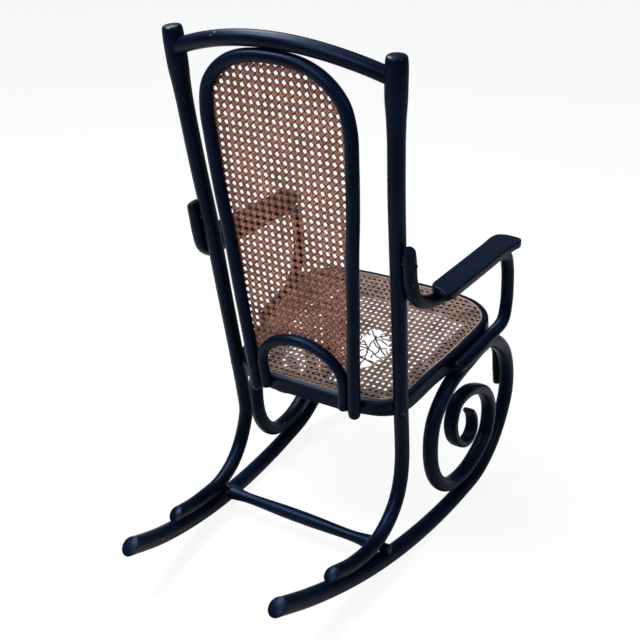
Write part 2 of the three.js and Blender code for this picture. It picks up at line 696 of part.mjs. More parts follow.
// Set a screw from the outside of a rod, straight through its middle and on into the next piece
function fastenRod(name, centre, thickness, direction, bite, through) {
  const head = centre.clone().addScaledVector(direction.clone().normalize(), -thickness / 2);
  fasten(name, head, direction, thickness + bite, through);
}
for (const [hand, side] of Object.entries(hands)) {
  const { rocker, post, arm } = curves[hand];
  const named = (piece) => `${hand}_${piece}`;
  const inward = point(-side, 0, 0);
  const outward = point(side, 0, 0);
  const down = point(0, 0, -1);

  const onPost = atHeight(arm, (armTopHeight + armLeaveHeight) / 2, 0, 0.2);
  fastenRod(named('arm_post_screw'), onPost, armThickness, inward, screwBite, [named('arm_rod'), named('post')]);

  const onRing = atReach(arm, armRingEndReach - armThickness, 0.8, 1);
  fastenRod(named('arm_seat_screw'), onRing, armThickness, inward, screwBite, [named('arm_rod'), 'seat_frame']);

  for (const [place, share] of Object.entries(armrestScrewShares)) {
    const below = atReach(arm, armrestReach + share * armrestLength, 0.1, 0.5);
    fastenRod(named(`armrest_${place}_screw`), below, armThickness, Z, armrestScrewBite,
      [named('arm_rod'), named('armrest')]);
  }
  for (const [place, setBack] of Object.entries(rockerSeatScrewSetBacks)) {
    const reach = seatFrontReach + setBack;
    const under = atReach(rocker, reach, rockerTopShares[0], rockerTopShares[1]);
    under.x = side * Math.min(Math.abs(under.x), seatEdgeAt(reach) - screwEdgeClearance);
    fastenRod(named(`rocker_seat_${place}_screw`), under, rockerThickness, Z, screwBite,
      [named('rocker'), 'seat_frame']);
  }
  const besideRing = atHeight(post, postScrewHeight, 0.4, 0.8);
  fastenRod(named('post_seat_screw'), besideRing, postThickness * 0.94, point(-side, -0.5, 0), screwBite,
    [named('post'), 'seat_frame']);

  const tail = atReach(post, postTailReach - postTailLength / 2, 0.8, 1);
  fastenRod(named('post_tail_screw'), tail, postThickness * 0.93, down, screwBite, [named('post'), named('rocker')]);

  const runner = atReach(rocker, stretcherReach, 0, 0.3);
  fastenRod(named('stretcher_screw'), runner, rockerThickness, Z, tenonScrewBite,
    [named('rocker'), 'rear_stretcher']);

  const leg = hoopLeg(hoopScrewHeight);
  leg.x *= side;
  fastenRod(named('hoop_leg_screw'), leg, hoopThickness, point(0, -1, 0), screwBite, ['back_hoop', 'seat_frame']);

  const archLeg = atHeight(archCurve, archScrewHeight, 0, 0.3);
  archLeg.x *= side;
  fastenRod(named('arch_leg_screw'), archLeg, archThickness, outward, screwBite, ['lower_back_arch', 'back_hoop']);

  const braceLeg = atHeight(brace, braceScrewHeight, 0, 0.4);
  braceLeg.x *= side;
  fastenRod(named('brace_screw'), braceLeg, braceThickness, outward, screwBite, ['front_brace_hoop', named('rocker')]);
}
fastenRod('hoop_crown_screw', hoopCurve.getPointAt(0.5), hoopThickness, Z, screwBite, ['back_hoop', 'crest_rail']);
fastenRod('brace_seat_screw', brace.getPointAt(0.5), braceThickness, Z, screwBite, ['front_brace_hoop', 'seat_frame']);

const chair = new THREE.Group();
for (const [name, solid] of Object.entries(pieces)) {
  const mesh = new THREE.Mesh(toGeometry(solid), wood());
  mesh.name = name;
  chair.add(mesh);
}
chair.add(...screws);

const backCane = new THREE.Mesh(
  caneNet(
    backOutline(hoopSeat, archSeat),
    backOutline(hoopThickness * 0.6, archThickness * 0.6),
  ),
  backCaneFinish(),
);
backCane.name = 'back_cane';
const backGroup = new THREE.Group();
backGroup.position.set(0, hoopFootReach, hoopFootHeight);
backGroup.quaternion.setFromRotationMatrix(backFrame);
backCane.position.z = caneSetBack - caneThickness / 2;
backGroup.add(backCane);
chair.add(backGroup);

const seatCane = new THREE.Mesh(
  caneNet(
    offsetLoop(seatCurve, ringRimWidth + clearance),
    offsetLoop(seatCurve, ringWidth),
    tearShares.map(([across, forward]) => new THREE.Vector2(across * seatHalfWidth, -forward * seatDepth)),
  ),
  seatCaneFinish(),
);
seatCane.name = 'seat_cane';
seatCane.position.z = -caneThickness;
const seatGroup = new THREE.Group();
seatGroup.position.setFromMatrixPosition(seatFrame);
seatGroup.quaternion.setFromRotationMatrix(seatFrame);
seatGroup.add(seatCane);
chair.add(seatGroup);

// Stand the chair on the floor with its middle over the origin
const bounds = new THREE.Box3().setFromObject(chair, true);
const middle = bounds.getCenter(point(0, 0, 0));
chair.children.forEach((child) => child.position.sub(point(middle.x, middle.y, bounds.min.z)));

export default chair;
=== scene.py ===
"""Bentwood rocking chair: bent rods in black-navy satin lacquer, with a hand-woven cane seat and back.

Sizes are in millimetres in the tables, as a chair maker would write them, and become metres in the meshes.
+Z is up, the sitter faces -Y and the sitter's left is +X.
"""

import math

import bpy
import numpy as np
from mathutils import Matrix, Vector


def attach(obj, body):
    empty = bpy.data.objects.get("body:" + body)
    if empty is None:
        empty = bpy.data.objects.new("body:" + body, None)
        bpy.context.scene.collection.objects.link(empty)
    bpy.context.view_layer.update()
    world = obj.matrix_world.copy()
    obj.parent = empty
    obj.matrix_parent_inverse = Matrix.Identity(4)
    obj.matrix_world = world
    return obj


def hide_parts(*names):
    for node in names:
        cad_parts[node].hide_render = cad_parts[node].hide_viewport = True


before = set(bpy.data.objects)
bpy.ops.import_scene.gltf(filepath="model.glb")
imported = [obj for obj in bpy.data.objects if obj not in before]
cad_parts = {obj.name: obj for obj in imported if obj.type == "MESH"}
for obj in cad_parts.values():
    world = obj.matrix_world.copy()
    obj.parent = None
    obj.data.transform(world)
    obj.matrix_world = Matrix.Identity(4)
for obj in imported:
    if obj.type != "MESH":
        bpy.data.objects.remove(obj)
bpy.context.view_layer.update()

MM = 0.001
CHAIR_SHIFT = np.array([0.0, 0.9, -0.06])
SIDES = {"left": 1.0, "right": -1.0}
ALONG_X = np.array([1.0, 0.0, 0.0])
ALONG_Y = np.array([0.0, 1.0, 0.0])
ALONG_Z = np.array([0.0, 0.0, 1.0])
GAP = 0.3

# ---------------- sizes
ROD = {"rocker": 31.0, "post": 30.5, "crest": 28.5, "hoop": 24.5, "arch": 21.5, "arm": 25.4, "brace": 17.0,
       "stretcher": 28.0}

RUNNER_RADIUS, RUNNER_LOW = 1168.0, -52.0
RUNNER_REAR, RUNNER_REAR_HALF = 402.0, 161.0
RUNNER_FRONT, RUNNER_FRONT_HALF = -320.0, 222.0
RUNNER_END, RUNNER_FLARE, END_CUT = 22.0, 1.4, 50.0
RUNNER_STEPS = [0, 0.16, 0.33, 0.5, 0.67, 0.83]
SCROLL_Y, SCROLL_Z, SCROLL_R = -205.0, 182.0, 200.0
LOOP_TURNS = (-60, [0.806, 0.881, 0.985, 0.992, 0.925])
TOP_RUN = [0.27, 0.03]
SCROLL_TURNS = (120, [0.731, 0.717, 0.662, 0.641, 0.622, 0.572, 0.56, 0.592, 0.543, 0.464, 0.404, 0.401, 0.41, 0.323,
                      0.237, 0.192, 0.181, 0.19, 0.205, 0.195, 0.168, 0.16, 0.17])
ROCKER_SECTION = [[0, 1.1, 1.1, 0], [0.12, 1.08, 1.08, 0], [0.3, 1, 1, 0], [0.68, 0.98, 0.98, 0],
                  [0.78, 0.86, 0.98, 0.3], [0.86, 0.7, 0.95, 0.7], [0.94, 0.5, 0.9, 1], [1, 0.34, 0.82, 1]]

POST_HEIGHT, POST_BACK, POST_HALF = 1007.0, 132.0, 220.0
POST_LINE = [[1, 1, 1], [0.984, 0.94, 0.93], [0.968, 0.856, 0.856], [0.941, 0.72, 0.749], [0.909, 0.523, 0.615],
             [0.882, 0.333, 0.47], [0.855, 0.159, 0.336], [0.841, 0.038, 0.243], [0.836, 0, 0.197],
             [0.845, 0.061, 0.156], [0.85, 0.189, 0.1206], [0.85, 0.402, 0.0909], [0.85, 0.735, 0.0702],
             [0.85, 1.08, 0.0668]]
TAIL_REACH, TAIL_LENGTH, TAIL_END = 250.0, 57.0, 20.0
POST_SECTION = [[0, 0.05], [0.0003, 0.6], [0.0011, 0.99], [0.0022, 1.1], [0.0045, 1.17], [0.012, 1.23], [0.024, 1.26],
                [0.055, 1.25], [0.095, 1.08], [0.13, 1.01], [0.3, 1], [0.55, 0.94], [0.97, 0.93], [0.985, 0.9],
                [1, 0.9]]
POST_FOOT = 0.93

CREST_HEIGHT, CREST_BACK, CREST_DROP = 1010.0, 158.0, 42.5
CREST_STEPS = [-1, -0.78, -0.52, -0.26, 0, 0.26, 0.52, 0.78, 1]

HOOP_FOOT_Z, HOOP_FOOT_Y, HOOP_HALF = 295.0, 57.0, 146.0
HOOP_LINE = [[0.753, 0], [0.801, 0.182], [0.849, 0.331], [0.897, 0.503], [0.945, 0.62], [0.984, 0.765], [0.99, 0.84],
             [0.93, 0.903], [0.79, 0.945], [0.6, 0.975], [0.36, 0.993], [0, 1]]
ARCH_TOP, ARCH_FOOT, ARCH_SPRING = 436.0, 309.0, 368.0
ARCH_ANGLES = [0, 12, 24, 36, 48, 60, 74, 90]

SEAT_HALF, SEAT_DEPTH, SEAT_Y, SEAT_Z, SEAT_TILT = 226.0, 406.0, 53.0, 328.7, 11.75
SEAT_LINE = [[0, 0], [0.2, 0], [0.385, 0.001], [0.53, 0.016], [0.675, 0.036], [0.785, 0.074], [0.846, 0.132],
             [0.872, 0.207], [0.898, 0.335], [0.932, 0.44], [0.96, 0.545], [0.984, 0.67], [0.998, 0.76],
             [0.99, 0.828], [0.945, 0.882], [0.86, 0.93], [0.745, 0.966], [0.6, 0.986], [0.42, 0.996], [0.2, 1],
             [0, 1]]
RING_WIDTH, RING_DEPTH, RING_RIM, CANE_REBATE = 42.0, 33.0, 12.0, 2.7

ARM_TOP, ARM_LEAVE, ARM_BEHIND, ARM_HALF = 672.0, 610.0, 8.0, 246.0
ARM_FRONT_Y, ARM_FRONT_Z, ARM_FRONT_HALF, ARM_RING_DROP = -303.0, 480.0, 249.0, 21.0
ARM_RING, ARM_RING_STEPS = (-262.0, -134.0), [0, 0.3, 0.65, 1]
ARM_LAP, ARM_SWING, ARM_UNDER_REST = 0.14, [[0.12, 0.8, 0.62], [0.4, 0.25, 1]], [0.3, 0, -0.34]
ARM_BEND, ARM_DROP = [[0.965, 0.16], [1.02, 0.6]], [[1.005, 0.52], [0.96, 0.2]]
ARM_SECTION = [[0, 0.96, 0.78], [0.012, 1, 0.9], [0.03, 1, 0.98], [0.1, 1], [0.994, 1], [0.998, 0.86], [1, 0.5]]
REST_TOP, REST_THICK, REST_LENGTH, REST_WIDTH = 580.0, 15.0, 322.0, 60.0
REST_HALF, REST_Y, REST_EDGE, REST_SPINE_END = 253.0, -131.0, 3.5, 34.0
REST_DOME_IN, REST_DOME_UP = np.array([5.0, 8.0]), np.array([0.05, 0.1])
REST_LINE = [[-0.28, 0.43], [0.05, 0.462], [0.32, 0.497], [0.455, 0.48], [0.5, 0.43], [0.49, 0.3], [0.46, 0],
             [0.43, -0.3], [0.46, -0.39], [0.49, -0.44], [0.4, -0.485], [0.12, -0.5], [-0.2, -0.5], [-0.42, -0.475],
             [-0.5, -0.42], [-0.475, -0.3], [-0.43, 0], [-0.39, 0.3], [-0.36, 0.4]]

BRACE_FOOT, BRACE_SHOULDER, BRACE_CROWN, BRACE_FORWARD = 184.0, 285.0, -322.0, 8.0
BRACE_LINE = [[1, 0.18, 0.2], [0.88, 0.5, 0.62], [0.6, 0.85, 0.93], [0.3, 0.97, 0.995], [0, 1, 1]]
STRETCHER_Y, STRETCHER_OVER, STRETCHER_NECK = 83.0, 14.0, 0.69
STRETCHER_SECTION = [[0, 0.58], [0.006, 0.66], [0.085, 0.7], [0.096, 0.96], [0.11, 1.04], [0.13, 0.98], [0.16, 0.87],
                     [0.19, 0.79], [0.225, 0.76], [0.26, 0.775], [0.3, 0.805], [0.36, 0.86], [0.42, 0.91], [0.5, 0.925]]

SEAT_PITCH, SEAT_PHASE = np.array([12.85, 13.4]), np.array([-1.1, -257.5])
BACK_PITCH, BACK_PHASE = np.array([14.35, 14.65]), np.array([-4.6, 504.2])
STRAND, DIAGONAL_STRAND, PAIR_APART, SEAT_STRAND, SEAT_PAIR_APART = 3.05, 2.9, 3.35, 3.25, 3.5
SEAT_CANE_UP, BACK_CANE_UP, BACK_CANE_TOP, CANE_CLEAR = -1.1, 7.0, 720.0, 0.6
TEAR_LINE = [[0.03, 0.45], [-0.03, 0.475], [-0.1, 0.48], [-0.1, 0.535], [-0.2, 0.525], [-0.3, 0.51], [-0.41, 0.41],
             [-0.4, 0.345], [-0.34, 0.25], [-0.24, 0.23], [-0.12, 0.27], [0, 0.34]]
TILT_SINE, TILT_COSINE = math.sin(math.radians(SEAT_TILT)), math.cos(math.radians(SEAT_TILT))


# ---------------- curves
class Curve:
    """A centripetal Catmull-Rom curve through points, kept as a fine line with its length at every point."""

    def __init__(self, points, closed=False, fine=60):
        """Between two points the line is a cubic whose end slopes follow the neighbours, weighted by the square roots
        of the distances between the points."""
        p = np.asarray(points, float)
        if closed:
            p = np.vstack([p[-1:], p, p[:2]])
        else:
            p = np.vstack([2 * p[:1] - p[1:2], p, 2 * p[-1:] - p[-2:-1]])
        a, b, c, d = p[:-3], p[1:-2], p[2:-1], p[3:]
        d0, d1, d2 = (np.sqrt(np.linalg.norm(v, axis=1))[:, None] for v in (b - a, c - b, d - c))
        leave = ((b - a) / d0 - (c - a) / (d0 + d1) + (c - b) / d1) * d1
        arrive = ((c - b) / d1 - (d - b) / (d1 + d2) + (d - c) / d2) * d1
        u = np.linspace(0, 1, fine, endpoint=False)[None, :, None]
        b, c, leave, arrive = (v[:, None] for v in (b, c, leave, arrive))
        line = b + leave * u + (-3 * b + 3 * c - 2 * leave - arrive) * u**2 + (2 * b - 2 * c + leave + arrive) * u**3
        self.line = np.vstack([line.reshape(-1, 3), p[-2:-1]])
        steps = np.linalg.norm(np.diff(self.line, axis=0), axis=1)
        self.along = np.r_[0, np.cumsum(steps)]
        self.length = self.along[-1]
        self.closed = closed

    def at(self, share):
        """Points at shares of the length."""
        s = np.atleast_1d(share) * self.length
        return np.stack([np.interp(s, self.along, self.line[:, k]) for k in range(3)], axis=1)

    def tangent(self, share):
        """Unit directions at shares of the length: the difference of two points a little apart."""
        s, e = np.atleast_1d(share), 2.0 / self.length
        low, high = (s - e, s + e) if self.closed else (np.clip(s - e, 0, 1), np.clip(s + e, 0, 1))
        t = self.at(high % 1 if self.closed else high) - self.at(low % 1 if self.closed else low)
        return t / np.linalg.norm(t, axis=1)[:, None]

    def where(self, axis, value, start, end):
        """The point whose coordinate on an axis is nearest to a value, between two shares."""
        s = np.linspace(start, end, 1200)
        points = self.at(s)
        return points[np.argmin(np.abs(points[:, axis] - value))]


def even_curve(xs, ys, at):
    """Smooth values between rows: a cubic with flat ends wherever the rows turn round, so that it never overshoots."""
    steps = np.diff(xs)
    slopes = np.diff(ys) / steps
    inner = np.where(slopes[:-1] * slopes[1:] > 0,
                     2 * slopes[:-1] * slopes[1:] / (slopes[:-1] + slopes[1:] + 1e-12), 0.0)
    ends = np.r_[slopes[0], inner, slopes[-1]]
    i = np.clip(np.searchsorted(xs, at, side="right") - 1, 0, len(xs) - 2)
    u = (at - xs[i]) / steps[i]
    h = steps[i]
    return ((1 + 2 * u) * (1 - u) ** 2 * ys[i] + u * (1 - u) ** 2 * h * ends[i]
            + u * u * (3 - 2 * u) * ys[i + 1] + u * u * (u - 1) * h * ends[i + 1])


def rocker_half_at(reach):
    """Half the distance between the two rockers: it widens quickly at the rear and slowly at the front."""
    share = np.clip((RUNNER_REAR - reach) / (RUNNER_REAR - RUNNER_FRONT), 0, 1)
    return RUNNER_REAR_HALF + (RUNNER_FRONT_HALF - RUNNER_REAR_HALF) * (1 - (1 - share) ** RUNNER_FLARE)


def runner_height_at(reach):
    """Height of the runner's middle line: a large circle that touches the floor at its low point."""
    return ROD["rocker"] / 2 + RUNNER_RADIUS - np.sqrt(RUNNER_RADIUS**2 - (reach - RUNNER_LOW) ** 2)


def runner_point(side, reach, over=0.0):
    """A point of a runner's middle line, or one over it."""
    return np.array([side * rocker_half_at(reach), reach, runner_height_at(reach) + over])


def seat_top_at(reach):
    """Height of the seat ring's top, a plane that falls to the rear."""
    return SEAT_Z + (SEAT_Y - reach) * TILT_SINE / TILT_COSINE


def ring_bottom_at(reach):
    """Height of the seat ring's underside."""
    return seat_top_at(reach) - RING_DEPTH / TILT_COSINE


def rocker_curve(side):
    """Runner along the circle, loop, top run under the seat and scroll. Loop and scroll are radii round one centre, one
    every 30 degrees."""
    rear = RUNNER_REAR + RUNNER_END
    runner = rear + np.array(RUNNER_STEPS) * (RUNNER_FRONT - rear)
    points = [runner_point(side, y) for y in runner]

    def wind(start, shares):
        angles = np.radians(start + 30 * np.arange(len(shares)))
        y = SCROLL_Y - np.array(shares) * SCROLL_R * np.cos(angles)
        z = SCROLL_Z + np.array(shares) * SCROLL_R * np.sin(angles)
        points.extend(zip(side * rocker_half_at(y), y, z))

    wind(*LOOP_TURNS)
    for share in TOP_RUN:
        y = SCROLL_Y - share * SCROLL_R
        points.append((side * rocker_half_at(y), y, ring_bottom_at(y) - ROD["rocker"] / 2))
    wind(*SCROLL_TURNS)
    return Curve(points)


LAP = (ROD["post"] * POST_FOOT + ROD["rocker"]) / 2 + GAP


def post_curve(side):
    """Raked post, bent back at its foot until it lies on the runner."""
    points = [(side * x * POST_HALF, y * POST_BACK, z * POST_HEIGHT) for x, y, z in POST_LINE]
    for share in (0, 0.5, 1):
        y = TAIL_REACH + TAIL_END - (1 - share) * (TAIL_LENGTH + TAIL_END)
        points.append(runner_point(side, y, LAP))
    return Curve(points)


POST = post_curve(1.0)
CREST_END = POST.where(2, CREST_HEIGHT - CREST_DROP, 0, 0.3)


def crest_curve():
    """Two parabolas of the distance from the middle: the rail drops and comes forward towards its ends."""
    s = np.array(CREST_STEPS)
    y = CREST_END[1] + (CREST_BACK - CREST_END[1]) * (1 - s**2)
    return Curve(np.stack([s * CREST_END[0], y, CREST_HEIGHT - CREST_DROP * s**2], axis=1))


HOOP_CROWN = CREST_HEIGHT - (ROD["crest"] + ROD["hoop"]) / 2 - GAP
BACK_RAKE = math.atan2(CREST_BACK - HOOP_FOOT_Y, HOOP_CROWN - HOOP_FOOT_Z)
BACK_NORMAL = np.array([0.0, math.cos(BACK_RAKE), -math.sin(BACK_RAKE)])
BACK_UP = np.array([0.0, math.sin(BACK_RAKE), math.cos(BACK_RAKE)])
BACK_FOOT = np.array([0.0, HOOP_FOOT_Y, HOOP_FOOT_Z])


def back_point(x, z):
    """A point of the raked back plane at a height."""
    return np.array([x, HOOP_FOOT_Y + (z - HOOP_FOOT_Z) * math.tan(BACK_RAKE), z])


def mirrored(points):
    """The points of one side, then the same ones on the other side in reverse."""
    p = np.array(points, float)
    return np.vstack([p, p[:-1][::-1] * [-1, 1, 1]])


HOOP = Curve(mirrored([back_point(x * HOOP_HALF, HOOP_FOOT_Z + up * (HOOP_CROWN - HOOP_FOOT_Z))
                       for x, up in HOOP_LINE]))
ARCH_INSET = (ROD["hoop"] + ROD["arch"]) / 2 + GAP


def hoop_leg(height):
    """The hoop's point at a height, on the sitter's left."""
    return HOOP.where(2, height, 0, 0.4)


def arch_curve():
    """Legs beside the hoop's legs, joined by half an ellipse."""
    spring = hoop_leg(ARCH_SPRING)[0] - ARCH_INSET
    feet = [ARCH_FOOT, (ARCH_FOOT + ARCH_SPRING) / 2]
    points = [back_point(hoop_leg(z)[0] - ARCH_INSET, z) for z in feet]
    points += [back_point(spring * math.cos(math.radians(a)),
                          ARCH_SPRING + (ARCH_TOP - ARCH_SPRING) * math.sin(math.radians(a))) for a in ARCH_ANGLES]
    return Curve(mirrored(points))


ARCH = arch_curve()
SEAT = Curve(mirrored([(x * SEAT_HALF, -y * SEAT_DEPTH, 0.0) for x, y in SEAT_LINE])[:-1], closed=True, fine=30)


def seat_to_chair(points):
    """Turns points of the flat seat by the seat's tilt about X and moves them to the rear edge of the ring."""
    axes = [ALONG_X, [0, TILT_COSINE, -TILT_SINE], [0, TILT_SINE, TILT_COSINE]]
    return points @ axes + [0, SEAT_Y, SEAT_Z]


def back_to_chair(points):
    """Stands points of the flat back up in the raked plane."""
    return points @ [ALONG_X, BACK_UP, -BACK_NORMAL] + BACK_FOOT


def seat_edge_at(reach):
    """Half the seat's width at a reach."""
    return SEAT.where(1, (reach - SEAT_Y) / TILT_COSINE, 0.05, 0.45)[0]


def arm_curve(side):
    """Up the post, forward under the armrest, down in front and back beside the seat ring."""
    r = ROD["arm"] / 2
    points = []
    for height in np.linspace(ARM_TOP, ARM_LEAVE, 3):
        beside = POST.where(2, height, 0.2, 0.6)
        lap = ARM_LAP * r * (height - ARM_LEAVE) / (ARM_TOP - ARM_LEAVE)
        points.append((beside[0] + ROD["post"] / 2 + r + GAP - lap, beside[1] + ARM_BEHIND, height))
    x, y, z = points[2]
    run, front = REST_TOP - REST_THICK - GAP - r, REST_Y - REST_LENGTH / 2
    points += [(x + out * (ARM_HALF - x), y * back, z + up * (run - z)) for out, back, up in ARM_SWING]
    points += [(ARM_HALF, REST_Y + share * REST_LENGTH, run) for share in ARM_UNDER_REST]
    points += [(ARM_FRONT_HALF, front * ahead, run + down * (ARM_FRONT_Z - run)) for ahead, down in ARM_BEND]
    points.append((ARM_FRONT_HALF, ARM_FRONT_Y, ARM_FRONT_Z))
    ring = []
    for share in ARM_RING_STEPS:
        reach = ARM_RING[0] + share * (ARM_RING[1] - ARM_RING[0])
        ring.append((seat_edge_at(reach) + r + GAP, reach, seat_top_at(reach) - ARM_RING_DROP))
    low = ring[0][2]
    points += [(ARM_FRONT_HALF, ARM_FRONT_Y * ahead, low + up * (ARM_FRONT_Z - low)) for ahead, up in ARM_DROP]
    return Curve(np.array(points + ring) * [side, 1, 1])


def brace_curve():
    """Legs inside the front loops, joined by a bow under the front of the seat."""
    loop = rocker_curve(1.0)
    across = RUNNER_FRONT_HALF - (ROD["rocker"] + ROD["brace"]) / 2 - 2 * GAP
    foot, shoulder = (loop.where(2, z, 0.3, 0.45) - [0, BRACE_FORWARD, 0] for z in (BRACE_FOOT, BRACE_SHOULDER))
    crown = ring_bottom_at(BRACE_CROWN) - ROD["brace"] / 2 - GAP
    leg = [(across, *(foot + s * (shoulder - foot))[1:]) for s in (0, 0.5, 1)]
    bow = [(w * across, shoulder[1] + b * (BRACE_CROWN - shoulder[1]), shoulder[2] + u * (crown - shoulder[2]))
           for w, b, u in BRACE_LINE]
    return Curve(mirrored(leg + bow))


# ---------------- wear
WORN = []


def wear(curve, places, to):
    """Notes rubbed places: points of a curve, moved to the side that is rubbed, and the size of each spot."""
    for share, size in places:
        WORN.append((*(curve.at([share])[0] + CHAIR_SHIFT + to), size))


def worn_at(points):
    """How rubbed each point is: a bell curve of its distance to the nearest rubbed place."""
    worn = np.zeros(len(points))
    for x, y, z, size in WORN:
        worn = np.maximum(worn, np.exp(-((points - [x, y, z]) ** 2).sum(1) / size**2))
    return worn


# ---------------- meshes
def put_in_mesh(name, points, faces, material, sharp=45, values=None):
    """One closed object from an array of points in millimetres and an array of quads (a triangle repeats its last
    point). All faces are turned round if they enclose a negative volume."""
    mesh = bpy.data.meshes.new(name)
    points = (points + CHAIR_SHIFT) * MM
    points[:, 2] = np.maximum(points[:, 2], 0)
    a, b, c, d = (points[faces[:, k]] for k in range(4))
    if (a * (np.cross(b, c) + np.cross(c, d))).sum() < 0:
        faces = faces[:, ::-1].copy()
        doubled = faces[:, 0] == faces[:, 1]
        faces[doubled] = faces[doubled][:, [1, 2, 3, 3]]
    triangles = faces[:, 3] == faces[:, 2]
    counts = np.where(triangles, 3, 4)
    kept = np.ones(faces.shape, bool)
    kept[triangles, 3] = False
    corners = faces[kept]
    starts = np.r_[0, np.cumsum(counts)[:-1]]
    mesh.vertices.add(len(points))
    mesh.vertices.foreach_set("co", points.ravel())
    mesh.loops.add(len(corners))
    mesh.loops.foreach_set("vertex_index", corners.astype(np.int32))
    mesh.polygons.add(len(faces))
    mesh.polygons.foreach_set("loop_start", starts.astype(np.int32))
    mesh.update(calc_edges=True)
    mesh.validate()
    if material.name.endswith("lacquer"):
        values = {"worn": worn_at(points / MM)}
    for key, column in (values or {}).items():
        mesh.attributes.new(key, "FLOAT", "POINT").data.foreach_set("value", column)
    mesh.polygons.foreach_set("use_smooth", np.ones(len(mesh.polygons), bool))
    if sharp:
        mesh.set_sharp_from_angle(angle=math.radians(sharp))
    mesh.materials.append(material)
    obj = bpy.data.objects.new(name, mesh)
    bpy.context.scene.collection.objects.link(obj)
    return obj


def grid_faces(rows, columns, wrap_rows=False):
    """Quads of a grid of rings, ring by ring. The last ring can join the first."""
    i, j = np.meshgrid(np.arange(rows if wrap_rows else rows - 1), np.arange(columns), indexing="ij")
    i2, j2 = (i + 1) % rows, (j + 1) % columns
    return np.stack([i * columns + j, i * columns + j2, i2 * columns + j2, i2 * columns + j], axis=-1).reshape(-1, 4)


def closed_grid(rows):
    """Points and faces of a grid of rings, with each end closed to a middle point."""
    n, k, _ = rows.shape
    points = np.vstack([rows.reshape(-1, 3), rows[0].mean(0), rows[-1].mean(0)])
    faces = grid_faces(n, k)
    j, middle, last = np.arange(k), np.full(k, n * k), (n - 1) * k
    j2 = (j + 1) % k
    first_end = np.stack([j2, j, middle, middle], axis=1)
    last_end = np.stack([last + j, last + j2, middle + 1, middle + 1], axis=1)
    return points, np.vstack([faces, first_end, last_end])


def loop_shares(count):
    """Even shares of a closed line."""
    return np.linspace(0, 1, count, endpoint=False)


def frames(curve, across, shares):
    """Middle, first and second direction of the cross-sections: the first is the given one made square to the curve."""
    t = curve.tangent(shares)
    side = across - (t @ across)[:, None] * t
    side /= np.linalg.norm(side, axis=1)[:, None]
    return curve.at(shares), side, np.cross(side, t)


SAW_REACH, SAW_BEVEL, SAW_INSET = 120.0, 0.8, 0.06


def rod(name, curve, across, thickness, rows, material, step=5.0, around=28, cuts=()):
    """A bent rod. Across the curve it is a circle whose two radii follow the rows; where the rows give squareness the
    cosine and sine are raised to a lower power, which fills the corners of a band. A cut saws one end (0 or 1) along
    a plane: points beyond the plane slide back along the curve to it."""
    rows = np.array([(*r, *(r[1], 0)[len(r) - 2:]) for r in rows], float)
    shares = np.unique(np.r_[np.linspace(0, 1, int(curve.length / step)), rows[:, 0]])
    depth, width, square = (even_curve(rows[:, 0], rows[:, k], shares)[:, None] for k in (1, 2, 3))
    angle, power = loop_shares(around)[None] * 2 * np.pi, 1 - 0.5 * square
    a = np.sign(np.cos(angle)) * np.abs(np.cos(angle)) ** power * width * thickness / 2
    b = np.sign(np.sin(angle)) * np.abs(np.sin(angle)) ** power * depth * thickness / 2
    centre, side, up = frames(curve, across, shares)
    grid = centre[:, None] + a[..., None] * side[:, None] + b[..., None] * up[:, None]
    for end, origin, normal in cuts:
        t = curve.tangent([float(end)])[0]
        near = np.abs(shares - end) * curve.length < SAW_REACH
        beyond = np.where(near[:, None], np.maximum((grid - (origin - SAW_BEVEL * normal)) @ normal, 0), 0)
        grid = grid - (beyond / (t @ normal))[..., None] * t
        last = grid[-end]
        rim = last + (last.mean(0) - last) * SAW_INSET + SAW_BEVEL * normal
        grid = np.vstack([grid, rim[None]] if end else [rim[None], grid])
    return put_in_mesh(name, *closed_grid(grid), material)


def rounded(corners, radii, steps=5):
    """A closed outline whose corners are replaced by arcs, each a quadratic curve between its two shoulder points."""
    corners, out = np.array(corners), []
    for k, radius in enumerate(radii):
        here, before, after = corners[k], corners[k - 1], corners[(k + 1) % len(corners)]
        a = here + (before - here) / np.linalg.norm(before - here) * radius
        b = here + (after - here) / np.linalg.norm(after - here) * radius
        u = np.linspace(0, 1, steps)[:, None]
        out.append((1 - u) ** 2 * a + 2 * u * (1 - u) * here + u**2 * b)
    return np.vstack(out)


def seat_inward(shares):
    """Directions to the inside of the seat, which is on the right, since the outline runs clockwise from above."""
    return np.cross(SEAT.tangent(shares), ALONG_Z)


def round_seat(outline, shares, lift):
    """Points and faces of an outline of heights and distances inwards, carried round the seat and lifted a little."""
    upward = (outline[None, :, :1] + lift[:, None, None]) * ALONG_Z
    grid = SEAT.at(shares)[:, None] + outline[None, :, 1:] * seat_inward(shares)[:, None] + upward
    return seat_to_chair(grid).reshape(-1, 3), grid_faces(len(shares), len(outline), wrap_rows=True)


def seat_ring(material):
    """The ring's cross-section carried round the seat's outline: face, small bead, groove, sloped rim and the step that
    the cane lies on."""
    corners = [(-RING_DEPTH, 0), (-3.4, 0), (-1.5, 2.6), (-2.7, 3.4), (-2.7, 4.0), (-1.4, 4.8), (0, RING_RIM),
               (-CANE_REBATE, RING_RIM), (-CANE_REBATE, RING_WIDTH), (-RING_DEPTH, RING_WIDTH)]
    outline = rounded(corners, [3, 1.8, 0.5, 0.25, 0.25, 0.6, 1.2, 0.4, 2, 3])
    return put_in_mesh("seat_ring", *round_seat(outline, loop_shares(300), np.zeros(300)), material, sharp=50)


